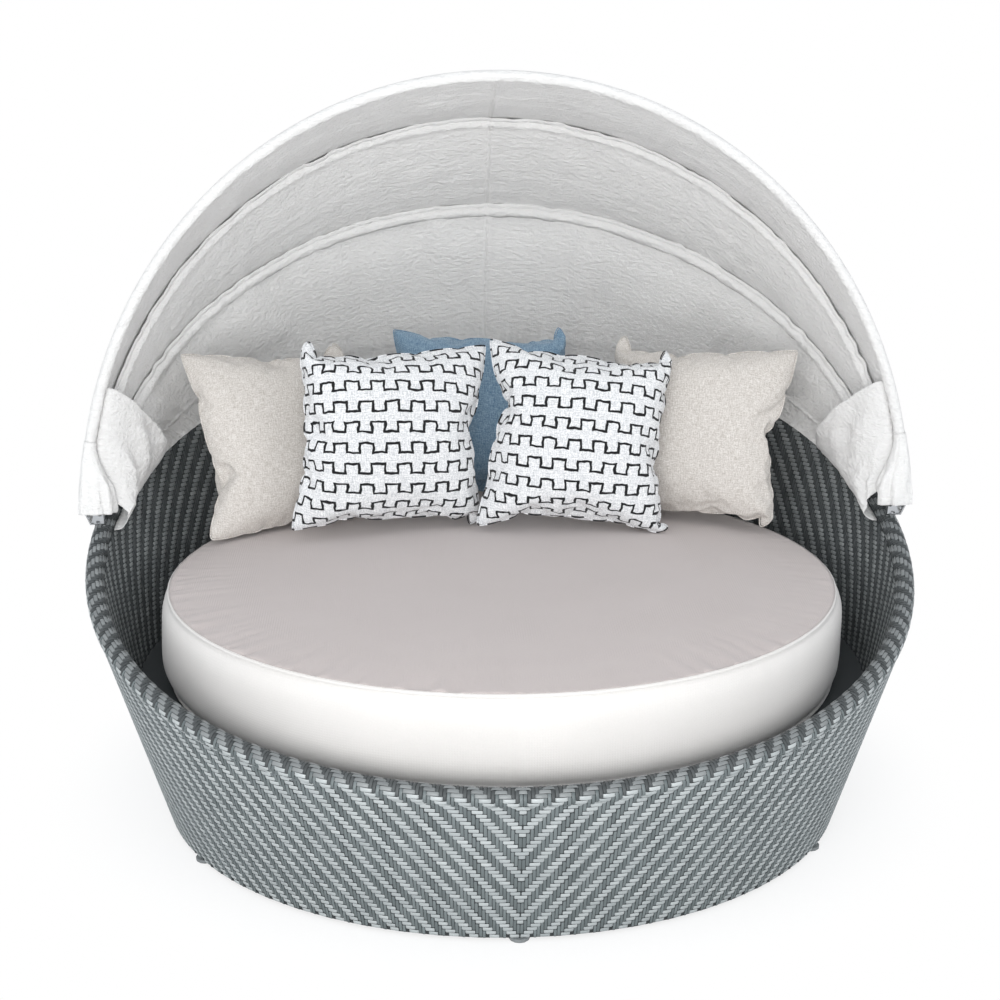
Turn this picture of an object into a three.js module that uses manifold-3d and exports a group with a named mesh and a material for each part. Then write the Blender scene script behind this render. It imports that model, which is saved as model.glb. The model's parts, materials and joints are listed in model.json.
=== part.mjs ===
// Outdoor daybed: a round woven tub on a tube frame, a thick round seat cushion, five loose
// pillows and a canopy of three nested bows that folds back about two hinges on the rim.
// Millimetres, +Z up. The origin is on the floor under the middle of the whole outline. Shapes
// are drawn about the tub's own axis, the front faces -Y, and angles round the tub start at
// the front and turn towards +X.

import * as THREE from 'three';
import { mergeVertices } from 'three/addons/utils/BufferGeometryUtils.js';
import Module from 'manifold-3d';

const wasm = await Module();
wasm.setup();

const { degToRad } = THREE.MathUtils;
const V = (x, y, z) => new THREE.Vector3(x, y, z);

// Tub
const tubBaseRadius = 732;
const wallLean = degToRad(17.5);
const rimFrontHeight = 332;
const rimSideHeight = 520;
const rimBackHeight = 850;
const weaveThickness = 4;
const hoopTube = 25;
const uprightTube = 16;
const uprightCount = 12;
const bindingThickness = 6;
const clearance = 0.3;

// Floor glides
const glideCount = 6;
const glideRadius = 20;
const glideHeight = 8;
const glideStemRadius = 4;
const glideStemLength = 20;
const glideEdgeRound = 2;

// Deck
const deckTop = 295;
const deckThickness = 8;
const bearerWidth = 40;
const bearerHeight = 25;
const bearerCount = 4;
const bearerPitch = 320;

// Seat cushion
const cushionGap = 67;
const cushionThickness = 200;
const cushionCrown = 20;
const cushionSideBulge = 14;
const cushionEdgeRound = 12;
const pipingRadius = 4;

// Pillows
const pillowSize = 430;
const pillowThickness = 135;
const pillowDrawnIn = 16;

// Canopy bows
const bowTube = 19;
const bowOutset = 34;
const frontBowRise = 936;
const bowDrop = 14;
const bowGap = 1;
const frontBowTilt = degToRad(6.5);
const bowSpacing = degToRad(22.1);
const lugThickness = 5;
const lugWidth = 24;
const lugReach = 55;
const tubeStart = 36;

// Hinge brackets, pivot bolts and bracket screws
const hingeAngle = degToRad(99.9);
const bracketPlate = 3;
const bracketLength = 44;
const bracketHeight = 52;
const bracketCornerRadius = 12;
const bracketLegLean = degToRad(17.5);
const pivotAboveBase = 26;
const boltRadius = 4;
const boltHeadRadius = 7;
const boltHeadHeight = 4.5;
const nutAcross = 13;
const nutHeight = 6.5;
const nutEndThread = 2;
const spacerRadius = 9;
const screwRadius = 2.5;
const screwLength = 22;
const screwHeadRadius = 4.5;
const screwHeadHeight = 2.5;
const screwPitch = 30;

// Canopy cloth
const clothThickness = 3;
const sagShare = 0.035;
const skirtFold = 5;
const panelStartShare = 0.5 / 30;
const skirtStartShare = 1 / 30;
const hemDrop = 14;
const backHemDrop = 55;
const skirtStartAngle = degToRad(119.5);
const flapReach = 270;
const flapStart = 70;
const flapFirstTurn = degToRad(2);
const flapEndAngle = degToRad(118);
const flapBulge = 53;
const flapStartShare = 0.85;

// Facets
const ringSteps = 60;
const tubeSides = 8;
const hiddenSides = 6;
const bowSteps = 30;
const bowSides = 8;
const sleevePoints = 8;
const cushionSteps = 44;
const pillowSteps = 9;
const smallSides = 12;

const hoopRadius = hoopTube / 2;
const uprightRadius = uprightTube / 2;
const bowRadius = bowTube / 2;
const rollRadius = hoopRadius + clearance + bindingThickness;
const wallThickness = 2 * (weaveThickness + clearance) + hoopTube;
const wallMiddle = wallThickness / 2;
const cutOverrun = weaveThickness;

// Meshes

function orient(positions, triangles) {
  let volume = 0;
  const corners = [V(), V(), V()];
  for (let i = 0; i < triangles.length; i += 3) {
    corners.forEach((corner, k) => corner.fromArray(positions, 3 * triangles[i + k]));
    volume += corners[0].dot(corners[1].clone().cross(corners[2]));
  }
  if (volume > 0) return triangles;
  const flipped = [];
  for (let i = 0; i < triangles.length; i += 3) {
    flipped.push(triangles[i], triangles[i + 2], triangles[i + 1]);
  }
  return flipped;
}

function solidGeometry(points, triangles) {
  const positions = points.flatMap((point) => point.toArray());
  const geometry = new THREE.BufferGeometry();
  geometry.setAttribute('position', new THREE.Float32BufferAttribute(positions, 3));
  geometry.setIndex(orient(positions, triangles));
  return geometry;
}

// Side faces along one loop of point numbers, from the ring that starts at here to the next one.
// From the point turnAt on they are split along the other diagonal, so that the two sides of a
// folded sheet keep its thickness.
function skinFaces(triangles, loop, here, next, turnAt = Infinity) {
  loop.forEach((a, k) => {
    const b = loop[(k + 1) % loop.length];
    if (a < turnAt) triangles.push(here + a, here + b, next + b, here + a, next + b, next + a);
    else triangles.push(here + a, here + b, next + a, here + b, next + b, next + a);
  });
}

function numbers(count, first = 0) {
  return Array.from({ length: count }, (_, k) => first + k);
}

// Solid swept round a closed path, one ring of points per step
function ringSolid(sectionAt, steps = ringSteps) {
  const rings = numbers(steps).map((i) => sectionAt((2 * Math.PI * i) / steps));
  const count = rings[0].length;
  const triangles = [];
  rings.forEach((_, i) => skinFaces(triangles, numbers(count), i * count, ((i + 1) % steps) * count));
  return solidGeometry(rings.flat(), triangles);
}

// Solid lofted through open rings: each loop makes a skin and the cap faces close both ends
function loftSolid(rings, loops, capFaces, turnAt) {
  const count = rings[0].length;
  const last = (rings.length - 1) * count;
  const triangles = [];
  for (let here = 0; here < last; here += count) {
    loops.forEach((loop) => skinFaces(triangles, loop, here, here + count, turnAt));
  }
  for (const face of capFaces) {
    for (let k = 1; k < face.length - 1; k++) {
      triangles.push(face[0], face[k + 1], face[k]);
      triangles.push(last + face[0], last + face[k], last + face[k + 1]);
    }
  }
  return solidGeometry(rings.flat(), triangles);
}

function cleaned(geometry) {
  const bare = geometry.clone();
  bare.deleteAttribute('normal');
  bare.deleteAttribute('uv');
  return mergeVertices(bare);
}

function toSolid(geometry) {
  const bare = cleaned(geometry);
  return new wasm.Manifold(new wasm.Mesh({
    numProp: 3,
    vertProperties: new Float32Array(bare.attributes.position.array),
    triVerts: new Uint32Array(bare.index.array),
  }));
}

function fromSolid(solid) {
  const mesh = solid.getMesh();
  const geometry = new THREE.BufferGeometry();
  geometry.setAttribute('position', new THREE.BufferAttribute(mesh.vertProperties, 3));
  geometry.setIndex(new THREE.BufferAttribute(mesh.triVerts, 1));
  return geometry;
}

function cut(geometry, ...tools) {
  return fromSolid(tools.reduce((solid, tool) => solid.subtract(toSolid(tool)), toSolid(geometry)));
}

function join(geometry, ...others) {
  return fromSolid(others.reduce((solid, other) => solid.add(toSolid(other)), toSolid(geometry)));
}

function common(geometry, other) {
  return fromSolid(toSolid(geometry).intersect(toSolid(other)));
}

function mirrored(geometry) {
  const copy = cleaned(geometry);
  const positions = copy.attributes.position;
  for (let i = 0; i < positions.count; i++) positions.setX(i, -positions.getX(i));
  const order = Array.from(copy.index.array);
  copy.setIndex(orient(Array.from(positions.array), order));
  return copy;
}

// Cylinder between two heights on its own axis, which runs along X or Z
function rod(radius, from, to, axis = 'z', sides = smallSides) {
  const geometry = new THREE.CylinderGeometry(radius, radius, to - from, sides);
  if (axis === 'x') geometry.rotateZ(-Math.PI / 2);
  else geometry.rotateX(Math.PI / 2);
  const middle = (from + to) / 2;
  return geometry.translate(axis === 'x' ? middle : 0, 0, axis === 'x' ? 0 : middle);
}

// Tube wall, wicker and rim

function wallRadius(height, depth = 0) {
  return tubBaseRadius + Math.tan(wallLean) * height - depth / Math.cos(wallLean);
}

function around(angle, radius, height) {
  return V(radius * Math.sin(angle), -radius * Math.cos(angle), height);
}

function rimHeight(angle) {
  const mean = (rimFrontHeight + rimBackHeight) / 2;
  const rise = (rimBackHeight - rimFrontHeight) * (1 - Math.cos(angle)) / 2;
  return rimFrontHeight + rise + (rimSideHeight - mean) * Math.sin(angle) ** 2;
}

function rimPoint(angle) {
  const height = rimHeight(angle);
  return around(angle, wallRadius(height, wallMiddle), height);
}

// Point on the rim hoop's centre line, with the wall's outward normal and the way up the wall
function rimFrame(angle) {
  const step = degToRad(0.5);
  const point = rimPoint(angle);
  const along = rimPoint(angle + step).sub(rimPoint(angle - step)).normalize();
  const out = around(angle, Math.cos(wallLean), -Math.sin(wallLean)).normalize();
  out.addScaledVector(along, -out.dot(along)).normalize();
  const up = out.clone().cross(along).normalize();
  if (up.z < 0) up.negate();
  const at = (outwards, upwards) => point.clone().addScaledVector(out, outwards).addScaledVector(up, upwards);
  return { point, along, out, up, at };
}

// How far below the rim hoop's centre a skin ends, to meet the rolled binding
function rollDrop(offset) {
  return Math.sqrt(rollRadius ** 2 - offset ** 2) + clearance;
}

const weaveBottom = glideHeight + clearance;
const returnTop = weaveBottom + weaveThickness;
const baseHoopHeight = returnTop + clearance + hoopRadius;
const baseHoopRadius = wallRadius(baseHoopHeight, wallMiddle);
const skinFace = hoopRadius + clearance;

function glidePlaces() {
  return Array.from({ length: glideCount }, (_, i) => {
    const angle = (2 * Math.PI * i) / glideCount;
    return around(angle, baseHoopRadius, 0);
  });
}

function stemHoles() {
  return glidePlaces().map((place) => (
    rod(glideStemRadius + clearance, glideHeight, glideHeight + glideStemLength + clearance)
      .translate(place.x, place.y, 0)));
}

function hoop(radius, height) {
  return new THREE.TorusGeometry(radius, hoopRadius, hiddenSides, ringSteps).translate(0, 0, height);
}

function outerWeave() {
  const returnDepth = weaveThickness + clearance + hoopTube;
  const weave = ringSolid((angle) => {
    const rim = rimFrame(angle);
    return [
      around(angle, wallRadius(weaveBottom), weaveBottom),
      rim.at(wallMiddle, -rollDrop(wallMiddle)),
      rim.at(skinFace, -rollDrop(skinFace)),
      around(angle, wallRadius(returnTop, weaveThickness), returnTop),
      around(angle, wallRadius(returnTop, returnDepth), returnTop),
      around(angle, wallRadius(weaveBottom, returnDepth), weaveBottom),
    ];
  });
  return cut(weave, ...stemHoles());
}

const deckUnderside = deckTop - deckThickness;

function innerWeave() {
  return ringSolid((angle) => {
    const rim = rimFrame(angle);
    return [
      around(angle, wallRadius(deckUnderside, wallThickness), deckUnderside),
      rim.at(-wallMiddle, -rollDrop(wallMiddle)),
      rim.at(-skinFace, -rollDrop(skinFace)),
      around(angle, wallRadius(deckUnderside, wallThickness - weaveThickness), deckUnderside),
    ];
  });
}

function rimHoop() {
  return ringSolid((angle) => {
    const rim = rimFrame(angle);
    return Array.from({ length: tubeSides }, (_, j) => {
      const turn = (2 * Math.PI * j) / tubeSides;
      return rim.at(hoopRadius * Math.cos(turn), hoopRadius * Math.sin(turn));
    });
  });
}

// Strap binding: a roll round the rim hoop, open underneath where the uprights come in
function rimBinding() {
  const outerHalfTurn = degToRad(152);
  const innerHalfTurn = degToRad(135);
  const outerPoints = 8;
  const innerPoints = 7;
  const arc = (rim, radius, halfTurn, count, direction) => (
    Array.from({ length: count }, (_, j) => {
      const share = (2 * j) / (count - 1) - 1;
      const turn = Math.PI / 2 + direction * share * halfTurn;
      return rim.at(radius * Math.cos(turn), radius * Math.sin(turn));
    }));
  return ringSolid((angle) => {
    const rim = rimFrame(angle);
    const outer = arc(rim, rollRadius, outerHalfTurn, outerPoints, 1);
    return outer.concat(arc(rim, skinFace, innerHalfTurn, innerPoints, -1));
  });
}

// Straight tube between two planes that mitre its ends
function mitredTube(radius, start, startNormal, end, endNormal) {
  const along = end.clone().sub(start).normalize();
  const side = along.clone().cross(V(0, 0, 1)).normalize();
  const other = along.clone().cross(side).normalize();
  const ringAt = (centre, normal) => Array.from({ length: tubeSides }, (_, j) => {
    const turn = (2 * Math.PI * j) / tubeSides;
    const offset = side.clone().multiplyScalar(radius * Math.cos(turn))
      .addScaledVector(other, radius * Math.sin(turn));
    const slide = -offset.dot(normal) / along.dot(normal);
    return centre.clone().add(offset).addScaledVector(along, slide);
  });
  const loop = numbers(tubeSides);
  return loftSolid([ringAt(start, startNormal), ringAt(end, endNormal)], [loop], [loop]);
}

function upright(angle) {
  const rim = rimFrame(angle);
  const startHeight = baseHoopHeight + skinFace;
  const start = around(angle, wallRadius(startHeight, wallMiddle), startHeight);
  const wallUp = around(angle, Math.sin(wallLean), Math.cos(wallLean));
  const drop = skinFace / wallUp.dot(rim.up);
  const end = rim.point.clone().addScaledVector(wallUp, -drop);
  return mitredTube(uprightRadius, start, V(0, 0, 1), end, rim.up);
}

function glide() {
  const bottom = glideRadius - glideEdgeRound;
  const profile = [
    [0, 0], [bottom, 0], [glideRadius, glideEdgeRound], [glideRadius, glideHeight],
    [glideStemRadius, glideHeight], [glideStemRadius, glideHeight + glideStemLength],
    [0, glideHeight + glideStemLength],
  ].map(([r, z]) => new THREE.Vector2(r, z));
  return new THREE.LatheGeometry(profile, smallSides).rotateX(Math.PI / 2);
}

// Deck

const deckHoopHeight = deckUnderside - clearance - hoopRadius;
const deckHoopDepth = wallMiddle + uprightRadius + clearance + hoopRadius;
const deckHoopRadius = wallRadius(deckHoopHeight, deckHoopDepth);

function deckPanel() {
  const radius = wallRadius(deckUnderside, wallThickness) - clearance;
  return rod(radius, deckUnderside, deckTop, 'z', ringSteps);
}

function deckBearer(place) {
  const bearer = new THREE.BoxGeometry(bearerWidth, 2 * deckHoopRadius, bearerHeight);
  bearer.translate(place, 0, deckUnderside - clearance - bearerHeight / 2);
  const seat = new THREE.TorusGeometry(deckHoopRadius, hoopRadius + clearance, hiddenSides, ringSteps);
  const inside = rod(deckHoopRadius, 0, deckTop, 'z', ringSteps);
  return cut(common(bearer, inside), seat.translate(0, 0, deckHoopHeight));
}

// Seat cushion and pillows

const cushionBottom = deckTop + clearance;
const cushionTop = cushionBottom + cushionThickness;
const cushionRadius = wallRadius(cushionBottom, wallThickness) - cushionGap;

// Height of the crowned top above the upper piping, at a distance from the middle
function crownAt(radius) {
  const share = Math.min(1, radius / (cushionRadius - pipingRadius));
  return cushionCrown * (1 - share ** 4);
}

function cushion() {
  const half = cushionThickness / 2;
  const middle = cushionBottom + half;
  const seam = half - cushionEdgeRound;
  const crownShares = [0, 0.35, 0.6, 0.8, 0.92];
  const bulgeShares = [-0.62, 0, 0.62];
  const bead = (height) => [-1, 0, 1].map((turn) => [
    cushionRadius + pipingRadius * Math.cos(turn * Math.PI / 3),
    height + pipingRadius * Math.sin(turn * Math.PI / 3),
  ]);
  const profile = [
    [0, cushionBottom],
    [cushionRadius - cushionEdgeRound, cushionBottom],
    ...bead(middle - seam),
    ...bulgeShares.map((share) => [
      cushionRadius + cushionSideBulge * (1 - share ** 2), middle + share * seam]),
    ...bead(cushionTop),
    ...crownShares.map((share) => [
      share * cushionRadius, cushionTop + crownAt(share * cushionRadius)]).reverse(),
  ].map(([r, z]) => new THREE.Vector2(r, z));
  return new THREE.LatheGeometry(profile, cushionSteps).rotateX(Math.PI / 2);
}

// Knife-edge pillow that stands in the XZ plane, thickest in the middle, its corners drawn out
function pillowForm(size = pillowSize, thickness = pillowThickness) {
  const half = size / 2;
  const points = [];
  const triangles = [];
  const number = new Map();
  const pointAt = (i, j, face) => {
    const rimPlace = i === 0 || j === 0 || i === pillowSteps || j === pillowSteps;
    const key = `${i},${j},${rimPlace ? 0 : face}`;
    if (!number.has(key)) {
      const u = Math.sin(Math.PI * (i / pillowSteps - 1 / 2));
      const v = Math.sin(Math.PI * (j / pillowSteps - 1 / 2));
      const full = Math.sqrt((1 - u ** 4) * (1 - v ** 4));
      const x = u * (half - pillowDrawnIn * (1 - v ** 2));
      const z = v * (half - pillowDrawnIn * (1 - u ** 2));
      number.set(key, points.push(V(x, face * full * thickness / 2, z)) - 1);
    }
    return number.get(key);
  };
  for (const face of [-1, 1]) {
    for (let i = 0; i < pillowSteps; i++) {
      for (let j = 0; j < pillowSteps; j++) {
        const corners = [[i, j], [i + 1, j], [i + 1, j + 1], [i, j + 1]]
          .map(([a, b]) => pointAt(a, b, face));
        if (face > 0) corners.reverse();
        const [a, b, c, d] = corners;
        triangles.push(a, b, c, a, c, d);
      }
    }
  }
  return solidGeometry(points, triangles);
}

// Leans the pillow back, rolls and turns it, and sets it down on the crowned cushion
function placedPillow({ placeShare, lean, turn, roll }) {
  const geometry = pillowForm();
  geometry.rotateY(degToRad(roll));
  geometry.rotateX(-degToRad(lean));
  geometry.rotateZ(degToRad(turn));
  geometry.translate(placeShare[0] * cushionRadius, placeShare[1] * cushionRadius, 0);
  const positions = geometry.attributes.position;
  let drop = Infinity;
  for (let i = 0; i < positions.count; i++) {
    const reach = Math.hypot(positions.getX(i), positions.getY(i));
    const under = cushionTop + crownAt(reach);
    drop = Math.min(drop, positions.getZ(i) - under);
  }
  return geometry.translate(0, 0, clearance - drop);
}

// Canopy bows. Each bow is half an ellipse in a plane through the pivot axis, nested in the
// one in front of it, with a flat lug at each end.

const rimAtHinge = rimFrame(hingeAngle);
const hingeSlope = Math.atan2(rimAtHinge.along.z, rimAtHinge.along.y);
const pivotRise = rollRadius + clearance + bracketPlate + pivotAboveBase;
const pivotY = rimAtHinge.point.y - pivotRise * Math.sin(hingeSlope);
const pivotZ = rimAtHinge.point.z + pivotRise * Math.cos(hingeSlope);

function bowSize(order) {
  const nest = order * (bowTube + bowGap);
  return {
    halfWidth: rimAtHinge.point.x + bowOutset - nest,
    rise: frontBowRise - nest,
    tilt: frontBowTilt + order * bowSpacing,
    order,
  };
}

function bowParameter(bow, distance) {
  return Math.asin((distance + bowDrop) / (bow.rise + bowDrop));
}

// Distances across (X) and up from the pivot axis, in the bow's own plane
function bowPlace(bow, parameter) {
  const across = bow.halfWidth * Math.cos(parameter);
  const up = (bow.rise + bowDrop) * Math.sin(parameter) - bowDrop;
  return [across, up];
}

function bowFrame(bow, parameter) {
  const [across, up] = bowPlace(bow, parameter);
  const radial = V(0, Math.sin(bow.tilt), Math.cos(bow.tilt));
  const back = V(0, Math.cos(bow.tilt), -Math.sin(bow.tilt));
  const point = V(across, pivotY, pivotZ).addScaledVector(radial, up);
  const outX = (bow.rise + bowDrop) * Math.cos(parameter);
  const outUp = bow.halfWidth * Math.sin(parameter);
  const out = V(outX, 0, 0).addScaledVector(radial, outUp).normalize();
  const at = (outwards, backwards) => (
    point.clone().addScaledVector(out, outwards).addScaledVector(back, backwards));
  return { point, out, back, at };
}

// Angle on the ellipse at one of the bow's evenly spaced stations
function stationParameter(bow, station) {
  const start = bowParameter(bow, tubeStart);
  const share = bow.curve.getUtoTmapping(station / bowSteps);
  return start + share * (Math.PI - 2 * start);
}

class BowCurve extends THREE.Curve {
  constructor(bow) {
    super();
    this.bow = bow;
    this.start = bowParameter(bow, tubeStart);
  }

  getPoint(share, target = V()) {
    const parameter = this.start + share * (Math.PI - 2 * this.start);
    const [across, up] = bowPlace(this.bow, parameter);
    return target.set(across, 0, up);
  }
}

const bows = [0, 1, 2].map(bowSize);
bows.forEach((bow) => { bow.curve = new BowCurve(bow); });

function circleShape(radius) {
  const shape = new THREE.Shape();
  shape.absarc(0, 0, radius, 0, 2 * Math.PI);
  return shape;
}

// Middle of the lug's thickness, drawn in a little from the tube's side that faces the middle bow
function lugPlace(bow) {
  const [across] = bowPlace(bow, bowParameter(bow, (tubeStart + lugReach) / 2));
  const shift = (bowRadius - lugThickness / 2 - bowGap) * (bow.order - 1);
  return across + shift;
}

function lug(bow) {
  const half = lugWidth / 2;
  const shape = new THREE.Shape();
  shape.moveTo(half, 0);
  shape.lineTo(half, lugReach);
  shape.lineTo(-half, lugReach);
  shape.lineTo(-half, 0);
  shape.absarc(0, 0, half, Math.PI, 2 * Math.PI);
  const hole = new THREE.Path();
  hole.absarc(0, 0, boltRadius + clearance, 0, 2 * Math.PI);
  shape.holes.push(hole);
  const plate = new THREE.ExtrudeGeometry(shape, {
    depth: lugThickness, bevelEnabled: false, curveSegments: smallSides / 2,
  });
  plate.rotateX(Math.PI / 2).rotateZ(Math.PI / 2);
  return plate.translate(lugPlace(bow) - lugThickness / 2, 0, 0);
}

function bowGeometry(bow) {
  const tube = new THREE.ExtrudeGeometry(circleShape(bowRadius), {
    steps: bowSteps, extrudePath: bow.curve, curveSegments: bowSides / 2,
  });
  const right = lug(bow);
  return join(tube, right, mirrored(right));
}

// Hinge brackets and their hardware, drawn for the +X side about the pivot

const lugPlaces = bows.map(lugPlace);
const bracketInner = lugPlaces[2] - lugThickness / 2 - clearance;
const lugTipSwing = (lugWidth / 2) * Math.tan(bracketLegLean);
const bracketOuterAtPivot = lugPlaces[0] + lugThickness / 2 + clearance + lugTipSwing;
const baseTop = -pivotAboveBase;
const baseUnderside = baseTop - bracketPlate;

function outerLegAt(height) {
  return bracketOuterAtPivot + height * Math.tan(bracketLegLean);
}

const bracketMiddle = (bracketInner + outerLegAt(baseTop)) / 2;

function extrudedAlongY(shape, length) {
  const geometry = new THREE.ExtrudeGeometry(shape, {
    depth: length, bevelEnabled: false, curveSegments: smallSides / 2,
  });
  return geometry.rotateX(Math.PI / 2).translate(0, length / 2, 0);
}

function screwPlaces() {
  return [-1, 1].map((side) => side * screwPitch / 2);
}

function bracket() {
  const top = baseUnderside + bracketHeight;
  const skew = bracketPlate / Math.cos(bracketLegLean);
  const channel = new THREE.Shape();
  channel.moveTo(bracketInner - bracketPlate, top);
  channel.lineTo(bracketInner - bracketPlate, baseUnderside);
  channel.lineTo(outerLegAt(baseUnderside) + skew, baseUnderside);
  channel.lineTo(outerLegAt(top) + skew, top);
  channel.lineTo(outerLegAt(top), top);
  channel.lineTo(outerLegAt(baseTop), baseTop);
  channel.lineTo(bracketInner, baseTop);
  channel.lineTo(bracketInner, top);
  const side = new THREE.Shape();
  const half = bracketLength / 2;
  side.moveTo(-half, baseUnderside - cutOverrun);
  side.lineTo(half, baseUnderside - cutOverrun);
  side.lineTo(half, top - bracketCornerRadius);
  side.absarc(half - bracketCornerRadius, top - bracketCornerRadius, bracketCornerRadius, 0, Math.PI / 2);
  side.absarc(bracketCornerRadius - half, top - bracketCornerRadius, bracketCornerRadius, Math.PI / 2, Math.PI);
  const width = outerLegAt(top) + skew - bracketInner + 2 * bracketPlate;
  const outline = new THREE.ExtrudeGeometry(side, {
    depth: width, bevelEnabled: false, curveSegments: 3,
  });
  outline.rotateX(Math.PI / 2).rotateZ(Math.PI / 2).translate(bracketInner - 2 * bracketPlate, 0, 0);
  const holes = screwPlaces().map((place) => (
    rod(screwRadius + clearance, baseUnderside - cutOverrun, baseTop + cutOverrun)
      .translate(bracketMiddle, place, 0)));
  const boltHole = rod(boltRadius + clearance, bracketInner - 2 * bracketPlate,
    outerLegAt(top) + 2 * bracketPlate, 'x');
  return cut(common(extrudedAlongY(channel, bracketLength), outline), boltHole, ...holes);
}

// Round-headed bolt whose head seats on the leaning leg
function pivotBolt() {
  const headStart = outerLegAt(-boltHeadRadius);
  const headEnd = outerLegAt(boltHeadRadius) + bracketPlate / Math.cos(bracketLegLean) + boltHeadHeight;
  const tail = bracketInner - bracketPlate - nutHeight - nutEndThread;
  const head = rod(boltHeadRadius, headStart, headEnd, 'x');
  const leg = new THREE.Shape();
  const reach = 2 * boltHeadRadius;
  const skin = (bracketPlate + clearance) / Math.cos(bracketLegLean);
  leg.moveTo(outerLegAt(-reach) - reach, -reach);
  leg.lineTo(outerLegAt(-reach) + skin, -reach);
  leg.lineTo(outerLegAt(reach) + skin, reach);
  leg.lineTo(outerLegAt(-reach) - reach, reach);
  const seated = cut(head, extrudedAlongY(leg, 2 * reach));
  return join(rod(boltRadius, tail, outerLegAt(boltHeadRadius) + 2 * bracketPlate, 'x'), seated);
}

function hexShape(across) {
  const corner = across / Math.sqrt(3);
  const shape = new THREE.Shape();
  for (let i = 0; i < 6; i++) {
    const turn = (Math.PI * i) / 3;
    const place = [corner * Math.cos(turn), corner * Math.sin(turn)];
    if (i === 0) shape.moveTo(...place);
    else shape.lineTo(...place);
  }
  return shape;
}

function alongX(shape, from, length) {
  const geometry = new THREE.ExtrudeGeometry(shape, {
    depth: length, bevelEnabled: false, curveSegments: smallSides / 2,
  });
  return geometry.rotateY(Math.PI / 2).translate(from, 0, 0);
}

function boltBore() {
  const hole = new THREE.Path();
  hole.absarc(0, 0, boltRadius + clearance, 0, 2 * Math.PI);
  return hole;
}

function lockNut() {
  const shape = hexShape(nutAcross);
  shape.holes.push(boltBore());
  return alongX(shape, bracketInner - bracketPlate - clearance - nutHeight, nutHeight);
}

function lugSpacer(outerPlace, innerPlace) {
  const shape = circleShape(spacerRadius);
  shape.holes.push(boltBore());
  const from = innerPlace + lugThickness / 2 + clearance;
  const to = outerPlace - lugThickness / 2 - clearance;
  return alongX(shape, from, to - from);
}

function bracketScrew(place) {
  const headBottom = baseTop + clearance;
  const profile = [
    [0, headBottom - screwLength], [screwRadius, headBottom - screwLength],
    [screwRadius, headBottom], [screwHeadRadius, headBottom],
    [screwHeadRadius, headBottom + screwHeadHeight / 2],
    [screwHeadRadius / 2, headBottom + screwHeadHeight], [0, headBottom + screwHeadHeight],
  ].map(([r, z]) => new THREE.Vector2(r, z));
  const sides = smallSides / 2;
  return new THREE.LatheGeometry(profile, sides).rotateX(Math.PI / 2).translate(bracketMiddle, place, 0);
}

// Holes that the bracket screws need in the binding and the rim hoop
function screwHoles() {
  const holes = screwPlaces().map((place) => (
    rod(screwRadius + clearance, baseTop - screwLength, baseTop + cutOverrun)
      .translate(bracketMiddle, place, 0).rotateX(hingeSlope).translate(0, pivotY, pivotZ)));
  return holes.concat(holes.map(mirrored));
}

// Canopy cloth. Each panel is a sleeve round its front bow and a sheet to the next edge. Its
// sections follow the bow's own facets, so the sleeve clears the tube.

function stationFrame(bow, station) {
  const lower = Math.floor(station);
  const here = bowFrame(bow, stationParameter(bow, lower));
  const next = bowFrame(bow, stationParameter(bow, Math.min(lower + 1, bowSteps)));
  const point = here.point.clone().lerp(next.point, station - lower);
  const out = here.out.clone().lerp(next.out, station - lower);
  const { back } = here;
  const at = (outwards, backwards) => (
    point.clone().addScaledVector(out, outwards).addScaledVector(back, backwards));
  return { point, out, back, at };
}

const sleeveInner = (bowRadius + clearance) / Math.cos(Math.PI / sleevePoints);
const sleeveOuter = sleeveInner + clothThickness;

// Where on the sleeve a sheet that heads for the target leaves it: the angle and the place
function sleeveSeam(frame, target) {
  const chord = target.clone().sub(frame.point);
  const leave = Math.atan2(-chord.dot(frame.out), chord.dot(frame.back));
  return { leave, start: frame.at(sleeveOuter * Math.cos(leave), sleeveOuter * Math.sin(leave)) };
}

// Points of a panel's section: round the sleeve, out along the sheet, back inside it, and
// last the sleeve's bore
function panelSection(frame, leave, sheetOuter, sheetInner) {
  const meet = leave + Math.acos(sleeveInner / sleeveOuter);
  const turns = numbers(sleevePoints).map((i) => (
    meet + (i / (sleevePoints - 1)) * (leave + 2 * Math.PI - meet)));
  const sleeve = (radius) => turns.map((turn) => (
    frame.at(radius * Math.cos(turn), radius * Math.sin(turn))));
  return [...sleeve(sleeveOuter), ...sheetOuter, ...sheetInner.slice().reverse(), ...sleeve(sleeveInner)];
}

function sheetFaces(start, startOut, end, endOut, sag) {
  const sheetShares = [1 / 3, 2 / 3, 1];
  const facing = (share) => startOut.clone().lerp(endOut, share).normalize();
  const outer = sheetShares.map((share) => (
    start.clone().lerp(end, share).addScaledVector(facing(share), -4 * sag * share * (1 - share))));
  const inner = outer.map((point, i) => (
    point.clone().addScaledVector(facing(sheetShares[i]), -clothThickness)));
  return [outer, inner];
}

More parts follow.
